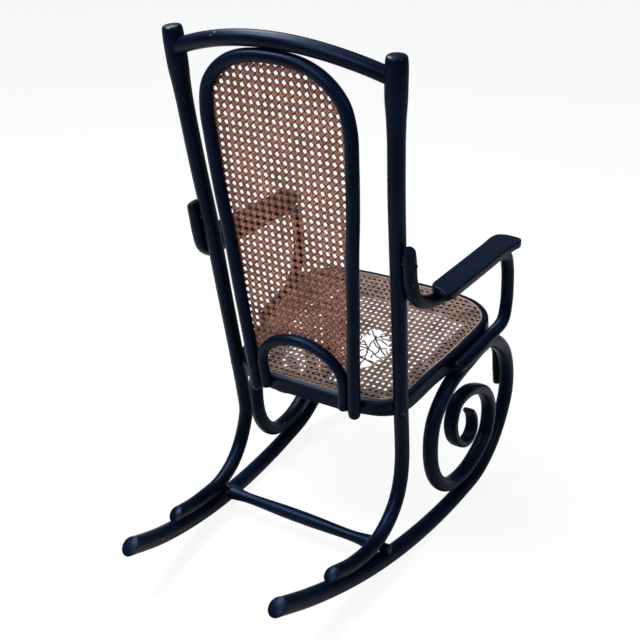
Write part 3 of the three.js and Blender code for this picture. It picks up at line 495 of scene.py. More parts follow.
def armrest_board(name, side, material):
    """A flat outline carried up and in along a quarter circle at both edges, with a slightly domed top."""
    line = Curve([(x * REST_WIDTH * side, y * REST_LENGTH, 0.0) for x, y in REST_LINE], closed=True)
    shares = loop_shares(180)
    edge, t = line.at(shares), line.tangent(shares)
    inward = np.cross(ALONG_Z, t)
    inward *= np.sign((inward * -edge).sum())
    arc = np.linspace(0, np.pi / 2, 7)
    into, up = REST_EDGE * (1 - np.sin(arc)), REST_EDGE * (1 - np.cos(arc))
    inset = np.r_[into, into[::-1], REST_DOME_IN]
    height = np.r_[up, REST_THICK - up[::-1], REST_THICK + REST_DOME_UP]
    grid = edge[None] + inward[None] * inset[:, None, None] + ALONG_Z * height[:, None, None]
    spine = np.clip(edge[:, 1:2], REST_SPINE_END - REST_LENGTH / 2, REST_LENGTH / 2 - REST_SPINE_END)
    middle = np.hstack([np.full_like(spine, 0.0), spine, np.full_like(spine, height[-1])])
    low = middle * [1, 1, 0]
    grid = np.concatenate([[low, low * 0.5 + grid[0] * 0.5], grid, [middle * 0.5 + grid[-1] * 0.5, middle]])
    points, faces = closed_grid(grid)
    points = points + [side * REST_HALF, REST_Y, REST_TOP - REST_THICK]
    return put_in_mesh(name, points, faces, material, sharp=60)


# ---------------- materials
LACQUER_DARK, LACQUER_LIGHT, BARE_WOOD = (0.0001, 0.0005, 0.0022), (0.0008, 0.0026, 0.0095), (0.22, 0.2, 0.18)
# The tint colours the lacquer's reflections blue: a painted sky colour in its highlights.
LACQUER_ROUGHNESS, LACQUER_SHEEN, PAINTED_SKY_TINT = (0.27, 0.46), 0.115, (0.28, 0.54, 1.0, 1)
CHIP_LEVEL, RUBBED_SHARE = (0.76, 0.81), 0.23
CANE = {"back_cane": ((0.57, 0.245, 0.148), (0.31, 0.115, 0.075), (0.11, 0.04, 0.034), 0.15),
        "seat_cane": ((0.37, 0.25, 0.2), (0.06, 0.032, 0.022), (0.035, 0.018, 0.013), 0.12),
        "broken_cane": ((0.05, 0.03, 0.03), (0.02, 0.013, 0.015), (0.014, 0.009, 0.01), 0.05)}
# The fourth and fifth values set the painted shade on the edges of cane strands, standing in for the shade in the gaps
# between strands.
CANE_ROUGHNESS, SOILED_LEVEL, SOILED_MOST, EDGE_SHADE_LEVEL, EDGE_SHADE_MOST = 0.5, (0.42, 0.72), 0.75, (0.35, 1.0), 0.9
FIBRE_SHARE, OUTLINE_SHADE, NODE_APART = 0.4, 0.3, 220
STEEL_DARK, STEEL_LIGHT, STEEL_ROUGHNESS = (0.012, 0.014, 0.02), (0.10, 0.10, 0.105), (0.3, 0.6)


def fill(made, inputs):
    """Sets inputs of a node."""
    for key, value in inputs.items():
        made.inputs[key].default_value = value


def node(tree, kind, inputs=None, **settings):
    """A shader node with its settings and the values of its inputs, to the right of the ones before it."""
    made = tree.nodes.new(kind if kind.startswith("NodeGroup") else f"ShaderNode{kind}")
    made.location = (NODE_APART * len(tree.nodes), 0)
    for key, value in settings.items():
        setattr(made, key, value)
    fill(made, inputs or {})
    return made


def wire(tree, *links):
    """Links, each from an output of one node to an input of another."""
    for source, output, target, name in links:
        tree.links.new(source.outputs[output], target.inputs[name])


def new_material(name):
    """A material, its node tree and its surface shader."""
    material = bpy.data.materials.new(name)
    material.use_nodes = True
    return material, material.node_tree, material.node_tree.nodes["Principled BSDF"]


def ramp(tree, low, high, start=0.35, end=0.7):
    """Two colours mixed by a value."""
    made = node(tree, "ValToRGB")
    for stop, position, colour in zip(made.color_ramp.elements, (start, end), (low, high)):
        stop.position, stop.color = position, (*colour, 1)
    return made


def between(tree, level=(0.0, 1.0), result=(0.0, 1.0)):
    """A value that rises from one result to another while its input crosses a level."""
    return node(tree, "MapRange", dict(zip(("From Min", "From Max", "To Min", "To Max"), level + result)))


def wear_group():
    """Mask of small chips: fine noise plus the rubbed places, cut off at a level. Also gives the slow unevenness of a
    brushed lacquer and the height of its grain."""
    group = bpy.data.node_groups.new("lacquer_wear", "ShaderNodeTree")
    group.interface.new_socket("Chips", in_out="INPUT", socket_type="NodeSocketFloat")
    for name in ("Chip Mask", "Unevenness", "Height"):
        group.interface.new_socket(name, in_out="OUTPUT", socket_type="NodeSocketFloat")
    given, out = node(group, "NodeGroupInput"), node(group, "NodeGroupOutput")
    where = node(group, "TexCoord")
    rubbed = node(group, "Attribute", attribute_name="worn")
    specks = node(group, "TexNoise", {"Scale": 150.0, "Detail": 5.0})
    slow = node(group, "TexNoise", {"Scale": 9.0, "Detail": 4.0})
    stretch = node(group, "Mapping", {"Scale": (1.0, 1.0, 0.16)})
    grain = node(group, "TexNoise", {"Scale": 60.0, "Detail": 6.0})
    both = node(group, "Math", {1: RUBBED_SHARE}, operation="MULTIPLY_ADD")
    sharp = between(group, CHIP_LEVEL)
    amount = node(group, "Math", operation="MULTIPLY", use_clamp=True)
    relief = node(group, "Math", {1: 0.5}, operation="MULTIPLY_ADD")
    wire(group, (where, "Object", specks, "Vector"), (where, "Object", slow, "Vector"),
         (where, "Object", stretch, "Vector"), (stretch, "Vector", grain, "Vector"), (rubbed, "Fac", both, 0),
         (specks, "Fac", both, 2), (both, 0, sharp, "Value"), (sharp, "Result", amount, 0), (given, "Chips", amount, 1),
         (grain, "Fac", relief, 0), (slow, "Fac", relief, 2), (amount, 0, out, "Chip Mask"),
         (slow, "Fac", out, "Unevenness"), (relief, 0, out, "Height"))
    return group


WEAR = wear_group()


def lacquer(name, chips):
    """Satin black-navy lacquer over wood: two near blacks, a faint grain, an uneven gloss, pale chips, and reflections
    tinted blue as a painted sky colour.
    """
    material, tree, shader = new_material(name)
    worn = node(tree, "Group", {"Chips": chips}, node_tree=WEAR)
    colours = ramp(tree, LACQUER_DARK, LACQUER_LIGHT)
    bare = node(tree, "Mix", {7: (*BARE_WOOD, 1)}, data_type="RGBA")
    gloss = between(tree, result=LACQUER_ROUGHNESS)
    bump = node(tree, "Bump", {"Strength": 0.12, "Distance": 0.0012})
    wire(tree, (worn, "Unevenness", colours, "Fac"), (colours, "Color", bare, 6), (worn, "Chip Mask", bare, 0),
         (worn, "Unevenness", gloss, "Value"), (worn, "Height", bump, "Height"), (bare, 2, shader, "Base Color"),
         (gloss, "Result", shader, "Roughness"), (bump, "Normal", shader, "Normal"))
    fill(shader, {"Specular IOR Level": LACQUER_SHEEN, "Specular Tint": PAINTED_SKY_TINT})
    return material


def cane_finish(name, low, high, dark, sheen):
    """Split cane: each strand has its own tone between two colours, with darker stains, painted shade along its edges
    for the shade between strands, and a fine grain.
    """
    material, tree, shader = new_material(name)
    tone = node(tree, "Attribute", attribute_name="tone")
    edge = node(tree, "Attribute", attribute_name="edge")
    where = node(tree, "TexCoord")
    stains_and_edge_shade = node(tree, "TexNoise", {"Scale": 22.0, "Detail": 6.0})
    fibres = node(tree, "TexNoise", {"Scale": 420.0, "Detail": 3.0})
    colours = ramp(tree, low, high, 0.0, 1.0)
    soiled = between(tree, SOILED_LEVEL, (0.0, SOILED_MOST))
    # Painted shade: the strands' edge value darkens their edges, as if the gaps between strands lay in shade.
    edge_shaded = between(tree, EDGE_SHADE_LEVEL, (0.0, EDGE_SHADE_MOST))
    mix = node(tree, "Mix", {7: (*dark, 1)}, data_type="RGBA")
    grey = node(tree, "Mix", {0: FIBRE_SHARE}, data_type="RGBA", blend_type="MULTIPLY")
    outlined = node(tree, "Mix", {7: (*[v * OUTLINE_SHADE for v in dark], 1)}, data_type="RGBA")
    bump = node(tree, "Bump", {"Strength": 0.25, "Distance": 0.0003})
    wire(tree, (where, "Object", stains_and_edge_shade, "Vector"), (where, "Object", fibres, "Vector"),
         (tone, "Fac", colours, "Fac"), (stains_and_edge_shade, "Fac", soiled, "Value"), (colours, "Color", mix, 6),
         (soiled, "Result", mix, 0), (mix, 2, grey, 6), (fibres, "Color", grey, 7), (edge, "Fac", edge_shaded, "Value"),
         (edge_shaded, "Result", outlined, 0), (grey, 2, outlined, 6), (outlined, 2, shader, "Base Color"),
         (fibres, "Fac", bump, "Height"), (bump, "Normal", shader, "Normal"))
    fill(shader, {"Roughness": CANE_ROUGHNESS, "Specular IOR Level": sheen})
    return material


def steel_finish():
    """Dull screw steel with worn black lacquer in patches."""
    material, tree, shader = new_material("screw_steel")
    where = node(tree, "TexCoord")
    noise = node(tree, "TexNoise", {"Scale": 300.0})
    colours = ramp(tree, STEEL_DARK, STEEL_LIGHT, 0.45, 0.62)
    rough = between(tree, result=STEEL_ROUGHNESS)
    wire(tree, (where, "Object", noise, "Vector"), (noise, "Fac", colours, "Fac"), (noise, "Fac", rough, "Value"),
         (colours, "Color", shader, "Base Color"), (rough, "Result", shader, "Roughness"))
    fill(shader, {"Metallic": 0.7})
    return material


ROD_LACQUER = lacquer("rod_lacquer", 0.9)
SEAT_LACQUER = lacquer("seat_ring_lacquer", 0.8)
BACK_CANE, SEAT_CANE, BROKEN_CANE = (cane_finish(name, *finish) for name, finish in CANE.items())
STEEL = steel_finish()


# ---------------- wood
def finished(obj, slot, *nodes):
    """The piece rides on the chair and stands for its nodes, which are hidden. The slot, the name of a finish, is not
    used.
    """
    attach(obj, "root")
    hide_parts(*nodes)


def wooden_rod(name, node_name, kind, curve, across, rows, **more):
    """A lacquered rod in the place of one node."""
    finished(rod(name, curve, across, ROD[kind], rows, ROD_LACQUER, **more), "ebonised_wood", node_name)


ROCKERS, POSTS, ARMS = ({hand: make(side) for hand, side in SIDES.items()}
                        for make in (rocker_curve, post_curve, arm_curve))
CREST, BRACE = crest_curve(), brace_curve()
CREST_WORN = ((0.765, 5), (0.74, 7), (0.715, 6), (0.69, 4), (0.44, 6), (0.03, 7))
HEEL_WORN, ROCKER_WORN = ((0.002, 11),), ((0.11, 6), (0.19, 5), (0.47, 6), (0.72, 6))
POST_WORN = ((0.0, 8), (0.045, 5), (0.33, 5), (0.77, 6), (0.93, 6), (0.995, 9))
ARM_WORN = ((0.028, 5), (0.07, 5), (0.08, 5), (0.42, 5), (0.8, 7))
HOOP_WORN = ((0.03, 5), (0.31, 5), (0.55, 5), (0.8, 5), (0.985, 5))
wear(CREST, CREST_WORN, (0, 9, 10))
for hand, side in SIDES.items():
    wear(ROCKERS[hand], HEEL_WORN, (-side * 9, 6, -10))
    wear(ROCKERS[hand], ROCKER_WORN, (-side * 9, 6, 9))
    wear(POSTS[hand], POST_WORN, (-side * 6, 15, 0))
    wear(ARMS[hand], ARM_WORN, (side * 11, 5, 0))
wear(HOOP, HOOP_WORN, (0, 12, 2))
SAWN = np.array([0.0, math.cos(math.radians(END_CUT)), math.sin(math.radians(END_CUT))])
ARM_CUT_AT, ARM_CUT = 0.003, np.array([0.34, 0.26, 0.9])
DOMED = [[0, 0.25], [0.0015, 0.62], [0.004, 0.88], [0.01, 1], [0.99, 1], [0.996, 0.88], [0.9985, 0.62], [1, 0.25]]

for hand, side in SIDES.items():
    rear_cut, tail_cut = (0, runner_point(side, RUNNER_REAR), SAWN), (1, runner_point(side, TAIL_REACH, LAP), SAWN)
    top_cut = (0, ARMS[hand].at([ARM_CUT_AT])[0], ARM_CUT * [side, 1, 1] / math.hypot(*ARM_CUT))
    wooden_rod(f"{hand}_rocker_rod", f"{hand}_rocker", "rocker", ROCKERS[hand], ALONG_X, ROCKER_SECTION,
               cuts=[rear_cut])
    wooden_rod(f"{hand}_back_post", f"{hand}_post", "post", POSTS[hand], ALONG_X, POST_SECTION, cuts=[tail_cut])
    wooden_rod(f"{hand}_arm_bow", f"{hand}_arm_rod", "arm", ARMS[hand], ALONG_X, ARM_SECTION, cuts=[top_cut])
    finished(armrest_board(f"{hand}_armrest_board", side, ROD_LACQUER), "ebonised_wood", f"{hand}_armrest")

wooden_rod("crest_bow", "crest_rail", "crest", CREST, ALONG_Y, [[0, 1], [1, 1]])
wooden_rod("back_hoop_bow", "back_hoop", "hoop", HOOP, BACK_NORMAL, DOMED)
wooden_rod("lower_arch_bow", "lower_back_arch", "arch", ARCH, BACK_NORMAL, DOMED)
wooden_rod("front_brace_bow", "front_brace_hoop", "brace", BRACE, ALONG_Y, DOMED)
STRETCHER_HALF = rocker_half_at(STRETCHER_Y) + STRETCHER_OVER
STRETCHER_Z = runner_height_at(STRETCHER_Y) + (ROD["rocker"] + ROD["stretcher"] * STRETCHER_NECK) / 2 + GAP
STRETCHER = Curve([(share * STRETCHER_HALF, STRETCHER_Y, STRETCHER_Z) for share in (-1, 0, 1)])
STRETCHER_ROWS = STRETCHER_SECTION + [[1 - share, wide] for share, wide in STRETCHER_SECTION[:-1][::-1]]
wooden_rod("turned_stretcher", "rear_stretcher", "stretcher", STRETCHER, ALONG_Z, STRETCHER_ROWS, step=3.0)
finished(seat_ring(SEAT_LACQUER), "ebonised_wood", "seat_frame")


# ---------------- cane
def inside(loop, points):
    """Whether flat points lie inside a loop: a ray from each crosses the loop an odd number of times."""
    a, b = loop, np.roll(loop, -1, axis=0)
    x, y = points[..., 0, None], points[..., 1, None]
    crosses = (a[:, 1] > y) != (b[:, 1] > y)
    at = a[:, 0] + (y - a[:, 1]) / (b[:, 1] - a[:, 1] + 1e-12) * (b[:, 0] - a[:, 0])
    return (crosses & (x < at)).sum(-1) % 2 == 1


SYSTEMS = ("rows", "columns", "rising", "falling")
STEPS_A_CELL, SHORTEST, FRAYED = 6, 3, 4.5
PAIR_HEIGHT, PAIR_BELL, DIAGONAL_HEIGHT = 0.4, 3.2, 0.88
WANDER, WANDER_RATE, WANDER_START, LANE_OFF = 0.22, (0.25, 0.6), 6.3, 0.1


def weave_height(system, along, pair, apart):
    """Height of a strand over the middle plane, with holes at whole numbers of cells. Half way between two holes the
    two strands of a pair pass over and under the other pair in turn, as half waves of a sine under a bell curve. A
    diagonal is a cosine wave: over the pairs of one direction and under those of the other."""
    if system in ("rows", "columns"):
        t = along - np.floor(along) - 0.5
        sign = (1 if pair else -1) * (1 if system == "rows" else -1)
        return sign * PAIR_HEIGHT * np.sin(np.clip(t / apart, -1, 1) * np.pi) * np.exp(-((t * PAIR_BELL) ** 2))
    return (1 if system == "rising" else -1) * DIAGONAL_HEIGHT * np.cos(2 * np.pi * along)


def cane_panel(name, box, pitch, phase, keep, to_chair, middle, material, seed, tear=None,
               diagonal_shade=(0.0, 1.0), tones=(0.0, 0.0, 0.0, 0.0), spread=1.0, strand=STRAND, apart=PAIR_APART):
    """Six-way weave: pairs of rows, pairs of columns and two sets of diagonals that cut the corners of the square
    holes, so that these become eight-sided. Every strand is a flat band with a rounded top, carried along its line
    and lifted by the weave height. Strands end where the outline or the tear ends them."""
    rng = np.random.default_rng(seed)
    first = np.floor((box[0] - phase) / pitch).astype(int) - 1
    last = np.ceil((box[1] - phase) / pitch).astype(int) + 1
    out = []
    tones = dict(zip(SYSTEMS, tones))
    # Painted shade for each strand system, in the middle and at the edges of a strand; on the back the diagonals are
    # shaded all over, so that they read as the shadowed lines between the holes.
    outline = {"rows": (0.0, 0.9), "columns": (0.0, 1.0), "rising": diagonal_shade, "falling": diagonal_shade}
    for system in SYSTEMS:
        strands = []
        axis, other = (1, 0) if system == "columns" else (0, 1)
        along = np.arange(first[axis] * STEPS_A_CELL, last[axis] * STEPS_A_CELL + 1) / STEPS_A_CELL
        if system in ("rows", "columns"):
            lanes = [(lane, pair) for lane in range(first[other], last[other] + 1) for pair in (0, 1)]
        else:
            reach = int((last - first).sum())
            lanes = [(lane, 0) for lane in range(-reach, reach + 1)]
        for lane, pair in lanes:
            cells = np.zeros((len(along), 2))
            cells[:, axis] = along
            slope = {"rising": 1, "falling": -1}.get(system, 0)
            cells[:, other] = lane + 0.5 + slope * (along - first[0]) + (first[1] if slope else 0)
            line = phase + cells * pitch
            if not slope:
                line[:, other] += (pair - 0.5) * apart
            wander = WANDER * np.sin(along * rng.uniform(*WANDER_RATE) + rng.uniform(0, WANDER_START))
            line[:, other] += wander + rng.normal(0, LANE_OFF)
            height = weave_height(system, along, pair, apart / pitch[axis])
            shown = keep(line)
            if tear is not None:
                shown &= ~inside(tear, line + rng.normal(0, FRAYED, 2))
            edges = np.flatnonzero(np.diff(np.r_[0, shown.astype(int), 0]))
            for start, end in zip(edges[::2], edges[1::2]):
                if end - start > SHORTEST:
                    strands.append((np.c_[line[start:end], height[start:end]], tones[system] + spread * rng.random()))
        width = DIAGONAL_STRAND if slope else strand
        out.append(strands_mesh(f"{name}_{system}", strands, to_chair, middle, material, width, outline[system]))
    return out


# Share of painted shade at each point of a strand's section: full at the edges, none on the top.
SECTION_EDGE_SHADE = np.array([1.0, 0.9, 0.0, 0.0, 0.9, 1.0, 0.25, 0.25])
SECTION = np.array([(-0.5, -0.1), (-0.46, 0.08), (-0.2, 0.19), (0.2, 0.19), (0.46, 0.08), (0.5, -0.1), (0.25, -0.15),
                    (-0.25, -0.15)])


def strands_mesh(name, strands, to_chair, middle, material, width, outline=(0.0, 1.0)):
    """Bands along many lines in one mesh, over the panel's middle plane: the section lies square to its line at every
    point. The outline gives how much painted shade the middle and the edges of a strand carry, standing in for the
    shade in the gaps between strands."""
    # Painted shade along the strand's edges, for the shade between strands.
    edge_shade = outline[0] + (outline[1] - outline[0]) * SECTION_EDGE_SHADE
    points, faces, tones, stains_and_edge_shade, count = [], [], [], [], 0
    for line, tone in strands:
        t = np.gradient(line, axis=0)
        t /= np.linalg.norm(t, axis=1)[:, None] + 1e-9
        side = np.stack([-t[:, 1], t[:, 0], np.zeros(len(t))], axis=1)
        side /= np.linalg.norm(side, axis=1)[:, None] + 1e-9
        up = np.cross(t, side)
        grid = line[:, None] + side[:, None] * SECTION[None, :, :1] * width + up[:, None] * SECTION[None, :, 1:] * width
        grid[..., 2] += middle
        closed, quads = closed_grid(grid)
        points.append(closed)
        faces.append(quads + count)
        tones.append(np.full(len(closed), tone))
        stains_and_edge_shade.append(np.r_[np.tile(edge_shade, len(line)), 1, 1])
        count += len(closed)
    points = to_chair(np.vstack(points))
    faces = np.vstack(faces)
    values = {"tone": np.concatenate(tones), "edge": np.concatenate(stains_and_edge_shade)}
    return put_in_mesh(name, points, faces, material, sharp=0, values=values)


SEAT_SHARES = loop_shares(400)
SEAT_OPEN = (SEAT.at(SEAT_SHARES) + (RING_RIM + CANE_CLEAR) * seat_inward(SEAT_SHARES))[:, :2]
TEAR = np.array([(x * SEAT_HALF, -y * SEAT_DEPTH) for x, y in TEAR_LINE])


def flat_back(curve):
    """A curve of the back laid flat: across, and up along the rake."""
    p = curve.line
    return np.stack([p[:, 0], (p[:, 2] - HOOP_FOOT_Z) / math.cos(BACK_RAKE)], axis=1)


BELOW_ARCH = [[-200, -50], [200, -50]]
HOOP_FLAT, ARCH_FLAT = flat_back(HOOP), np.vstack([flat_back(ARCH), BELOW_ARCH])
ARCH_LOW = (ARCH_SPRING - HOOP_FOOT_Z) / math.cos(BACK_RAKE)


def on_seat(line):
    """Inside the rim of the seat ring."""
    return inside(SEAT_OPEN, line)


def on_back(line):
    """Inside the middle line of the hoop and above that of the lower arch."""
    return inside(HOOP_FLAT, line) & ~inside(ARCH_FLAT, line) & (line[:, 1] > ARCH_LOW)


seat_panel = cane_panel("seat_cane", ([-SEAT_HALF, -SEAT_DEPTH], [SEAT_HALF, 0.0]), SEAT_PITCH, SEAT_PHASE, on_seat,
                        seat_to_chair, SEAT_CANE_UP, SEAT_CANE, 4, tear=TEAR, tones=(0.35, 0.45, 0.0, 0.25),
                        spread=0.6, strand=SEAT_STRAND, apart=SEAT_PAIR_APART)
# The back's diagonals carry painted shade all over: dark lines for the shadows between strands.
back_panel = cane_panel("back_cane", ([-HOOP_HALF, 0.0], [HOOP_HALF, BACK_CANE_TOP]), BACK_PITCH, BACK_PHASE, on_back,
                        back_to_chair, BACK_CANE_UP, BACK_CANE, 9, diagonal_shade=(0.9, 1.0))
BINDING_HALF, BINDING_TALL, BINDING_IN, BINDING_SUNK, BINDING_BASE = 1.7, 1.1, 1.9, 0.5, (1.2, -0.8)
BINDING_WAVE, BINDING_WAVES, BINDING_TONE, BINDING_TONES = 0.12, 31, (0.25, 0.2), 40


def binding_strand(material):
    """The strand that covers the edge of the seat cane: a half-round band carried round the seat's outline, inside the
    rim, with a slow waviness in its height."""
    shares, angle = loop_shares(420), np.linspace(0, np.pi, 7)
    base, under = BINDING_BASE
    wide = np.r_[np.cos(angle) * BINDING_HALF, -base, base] + RING_RIM + BINDING_IN
    tall = np.r_[np.sin(angle) * BINDING_TALL, under, under] - BINDING_SUNK
    wave = BINDING_WAVE * np.sin(shares * 2 * np.pi * BINDING_WAVES)
    points, faces = round_seat(np.stack([tall, wide], axis=1), shares, wave)
    tone = np.repeat(BINDING_TONE[0] + BINDING_TONE[1] * np.sin(shares * BINDING_TONES), len(wide))
    values = {"tone": tone, "edge": np.zeros(len(points))}
    return put_in_mesh("seat_binding_strand", points, faces, material, sharp=0, values=values)


LOOSE = [[(-84, -168, 2), (-70, -166, 0), (-57, -172, -2), (-47, -181, 0)],
         [(-70, -128, 3), (-66, -142, 0), (-70, -155, -2), (-66, -170, 0)],
         [(-22, -132, 2), (-28, -146, 0), (-24, -160, 1), (-28, -172, 3)],
         [(-46, -108, 2), (-44, -122, 0), (-52, -136, -2), (-50, -150, -3)],
         [(-86, -198, 0), (-72, -200, -2), (-58, -197, -1), (-50, -204, 0)],
         [(-91, -136, 0), (-76, -141, -1), (-62.5, -147.5, 2), (-50.8, -151.7, 3), (-38.3, -165, 1), (-24, -179, -2)],
         [(-54, -139, 5), (-50.8, -151.7, 4), (-46, -165, 1), (-41.7, -178.3, -2), (-44.2, -190, -1), (-31, -205, 0)],
         [(-91, -149, 0), (-76.7, -160.8, -3), (-61.7, -176.7, -5), (-46.7, -190, -3), (-41, -200, 0)],
         [(-78, -181, 0), (-66, -188, -2), (-55, -194.2, -3), (-45, -189, -2)],
         [(-45, -190, 1), (-53, -199, 2), (-62.5, -208, 0)],
         [(-79, -122, 0), (-68, -124.5, -2), (-56.7, -127.5, -4), (-40, -134.2, -5), (-22, -141, -3), (-6, -141, 0)],
         [(-81, -117, 0), (-64, -120, 2), (-50, -120, 4)],
         [(-38, -165.5, 0), (-26.7, -160.8, 2), (-12, -158, 1), (2, -160, 0)],
         [(-53, -151, 2), (-40, -156, 0), (-26.7, -158.3, -1), (-8, -168, -2), (-2, -178, 0)],
         [(-30, -112, 0), (-34, -128, -3), (-30, -146, -7), (-33, -160, -9)],
         [(-14, -190, 0), (-20, -176, 2), (-17, -160, 3), (-9, -150, 2)],
         [(-62, -96, 0), (-60, -106, 4), (-63, -116, 6), (-60, -124, 6)]]


BROKEN_UP, BROKEN_WIDTH, BROKEN_STEPS, BROKEN_TONE = -1.2, 2.8, 26, 0.37


def loose_strands(material):
    """Broken strands that hang across the tear, each a smooth curve through its own few points."""
    shares = np.linspace(0, 1, BROKEN_STEPS)
    strands = [(Curve(points).at(shares), (k * BROKEN_TONE) % 1) for k, points in enumerate(LOOSE)]
    return strands_mesh("broken_cane_strands", strands, seat_to_chair, BROKEN_UP, material, BROKEN_WIDTH)


for piece in [binding_strand(SEAT_CANE), loose_strands(BROKEN_CANE), *seat_panel]:
    finished(piece, "seat_cane", "seat_cane")
for piece in back_panel:
    finished(piece, "back_cane", "back_cane")


# ---------------- screws
SLOT, SLOT_DEPTH, AROUND, RING_STEP = 1.1, 0.55, 11, 0.8
THREAD_PITCH, THREAD_DEPTH, THREADED, SHANK = 2.4, 0.2, 0.62, 0.92
TIP_START, TIP_LENGTH, HEAD_FROM, HEAD_WIDE, SLANT_FROM, SLANT_OVER, SLANTS = 0.25, 6.0, 0.9, 0.98, 37, 53, 7
HEAD_RIM, HEAD_RINGS, HEAD_EDGE, HEAD_DOME = (0.97, 0.15), (1.0, 0.97, 0.88, 0.7, 0.45, 0.3), 0.5, 0.42


def screw_ring(radius, height, slot_floor=None):
    """One ring of a screw. In the head's top the slot runs through: there the ring has corners at the slot's two
    edges, each doubled, once at the top and once on the slot's floor."""
    open_by = math.asin(min(SLOT / 2 / radius, 0.996))
    out = []
    for turn in (0.0, math.pi):
        out += [(turn + angle, height if slot_floor is None else slot_floor) for angle in (-open_by, open_by)]
        out += [(turn + angle, height) for angle in np.linspace(open_by, math.pi - open_by, AROUND)]
    angles, heights = np.array(out).T
    return np.stack([radius * np.cos(angles), radius * np.sin(angles), heights], axis=1)


def slotted_screw(name, at, material):
    """A wood screw of the measures of its solid: tapered tip, thread as a triangle wave that winds round the shank,
    flat underside, domed slotted head. The axis is the solid's longest direction, the head its wider end."""
    middle = (at.min(0) + at.max(0)) / 2
    axis = np.linalg.svd(at - at.mean(0))[2][0]
    t = (at - middle) @ axis
    r = np.linalg.norm(at - middle - t[:, None] * axis, axis=1)
    if r[t > 0].max() < r[t < 0].max():
        axis, t = -axis, -t
    head, neck = t[r > HEAD_FROM * r.max()].min(), r[t < 0].max()
    wide, tip, top = r.max() * HEAD_WIDE, t.min(), t.max()
    tall, slot_floor = top - head, top - SLOT_DEPTH * (top - head)
    rings = []
    for height in np.arange(tip + 0.3, head - 0.2, RING_STEP):
        ring = screw_ring(neck, height)
        angle = np.arctan2(ring[:, 1], ring[:, 0]) / (2 * math.pi)
        wave = np.abs(((height / THREAD_PITCH - angle) % 1) * 2 - 1)
        taper = min(1.0, TIP_START + (height - tip) / TIP_LENGTH)
        threaded = height < tip + THREADED * (head - tip)
        thread = 1 - THREAD_DEPTH + THREAD_DEPTH * wave if threaded else SHANK
        ring[:, :2] *= (taper * np.broadcast_to(thread, len(ring)))[:, None]
        rings.append(ring)
    rings += [screw_ring(neck * SHANK, head), screw_ring(wide * HEAD_RIM[0], head),
              screw_ring(wide, head + HEAD_RIM[1] * tall)]
    for share in HEAD_RINGS:
        down = HEAD_EDGE if share == 1.0 else HEAD_DOME * share**4
        rings.append(screw_ring(max(wide * share, SLOT * 0.505), top - tall * down, slot_floor))
    points, faces = closed_grid(np.array(rings))
    points[-1, 2] = slot_floor
    side = np.cross(axis, ALONG_Z if abs(axis[2]) < 0.7 else ALONG_X)
    side /= np.linalg.norm(side)
    slant = math.radians(SLANT_FROM + SLANT_OVER * (sum(map(ord, name)) % SLANTS) / SLANTS)
    side = side * math.cos(slant) + np.cross(axis, side) * math.sin(slant)
    points = middle + points[:, :1] * side + points[:, 1:2] * np.cross(axis, side) + points[:, 2:] * axis
    return put_in_mesh(name, points - CHAIR_SHIFT, faces, material, sharp=35)


for node_name, solid in list(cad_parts.items()):
    if node_name.endswith("_screw"):
        corners = np.empty(len(solid.data.vertices) * 3)
        solid.data.vertices.foreach_get("co", corners)
        finished(slotted_screw(f"{node_name}_slotted", corners.reshape(-1, 3) / MM, STEEL), "screw_steel", node_name)


# ---------------- stage
FLOOR_SIZE, FLOOR_GREY, CARD_SHARE, CARD_LIGHT = 30, 0.42, 0.85, 1.06
SKY_COLOUR, SKY_LIGHT, SUN_LIGHT, SUN_ANGLE = (0.42, 0.66, 1.0, 1), 0.28, 0.8, 60
WHITE = (1, 1, 1, 1)
AIM = (0, 0, 0.5)
SOFTBOXES = {"top_softbox": ((1.3, 0.9, 3.0), 1.1, 140), "rear_softbox": ((0.1, 3.2, 2.9), 1.2, 90),
             "side_softbox": ((-2.7, 0.6, 2.2), 1.2, 24), "front_softbox": ((1.4, -0.7, 2.8), 1.0, 60)}
CAMERA_PLACE, CAMERA_TURN, CAMERA_LENS, SENSOR = (-1.0842, 1.7295, 1.40734), (64.858, 0.0, 212.157), 66.375, 36.0


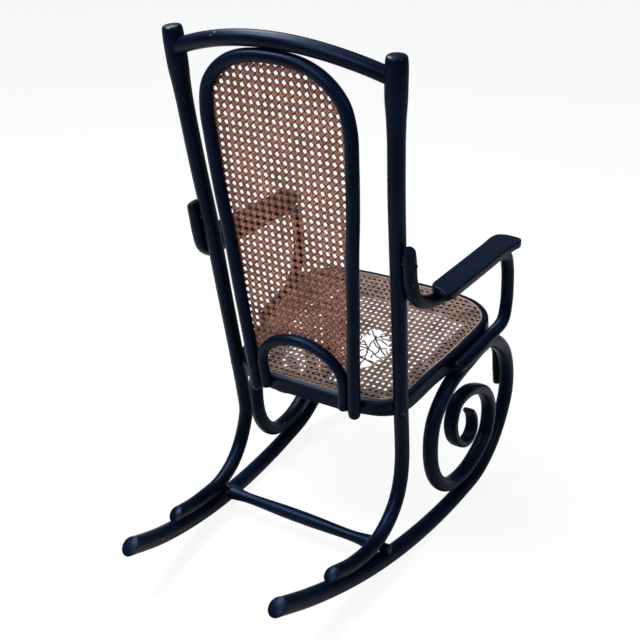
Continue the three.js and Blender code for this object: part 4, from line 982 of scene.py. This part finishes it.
def floor_card():
    """Pale card: its own grey for light and reflections, and mostly plain white for the camera."""
    material, tree, shader = new_material("floor_card")
    fill(shader, {"Base Color": (FLOOR_GREY, FLOOR_GREY, FLOOR_GREY, 1), "Roughness": 0.9, "Specular IOR Level": 0.0})
    white = node(tree, "Emission", {"Strength": CARD_LIGHT})
    path = node(tree, "LightPath")
    share = node(tree, "Math", {1: CARD_SHARE}, operation="MULTIPLY")
    mix = node(tree, "MixShader")
    wire(tree, (path, "Is Camera Ray", share, 0), (share, 0, mix, 0), (shader, 0, mix, 1), (white, 0, mix, 2),
         (mix, 0, tree.nodes["Material Output"], "Surface"))
    return material


def studio():
    """Soft bluish light from all round, and plain white behind the chair for the camera."""
    world = bpy.data.worlds.new("studio")
    world.use_nodes = True
    tree = world.node_tree
    tree.nodes.clear()
    path = node(tree, "LightPath")
    soft = node(tree, "Background", {"Color": SKY_COLOUR, "Strength": SKY_LIGHT})
    bright = node(tree, "Background", {"Color": WHITE})
    mix = node(tree, "MixShader")
    out = node(tree, "OutputWorld")
    wire(tree, (path, "Is Camera Ray", mix, 0), (soft, 0, mix, 1), (bright, 0, mix, 2), (mix, 0, out, "Surface"))
    return world


def put(name, data, place=(0, 0, 0)):
    """A lamp or camera in the scene."""
    made = bpy.data.objects.new(name, data)
    made.location = place
    bpy.context.scene.collection.objects.link(made)
    return made


bpy.ops.mesh.primitive_plane_add(size=FLOOR_SIZE, location=(0, 0, 0))
floor = bpy.context.object
floor.name = "floor"
floor.data.materials.append(floor_card())
bpy.context.scene.world = studio()

for name, (place, size, power) in SOFTBOXES.items():
    data = bpy.data.lights.new(name, "AREA")
    data.energy, data.size, data.shape = power, size, "SQUARE"
    lamp = put(name, data, place)
    lamp.rotation_euler = (Vector(AIM) - Vector(place)).to_track_quat("-Z", "Y").to_euler()
sky_data = bpy.data.lights.new("overcast_sky", "SUN")
sky_data.energy, sky_data.angle = SUN_LIGHT, math.radians(SUN_ANGLE)
put("overcast_sky", sky_data)

camera_data = bpy.data.cameras.new("camera")
camera_data.lens, camera_data.sensor_width = CAMERA_LENS, SENSOR
camera = put("camera", camera_data, CAMERA_PLACE)
camera.rotation_euler = [math.radians(turn) for turn in CAMERA_TURN]
bpy.context.scene.camera = camera
bpy.context.scene.view_settings.view_transform = "Standard"
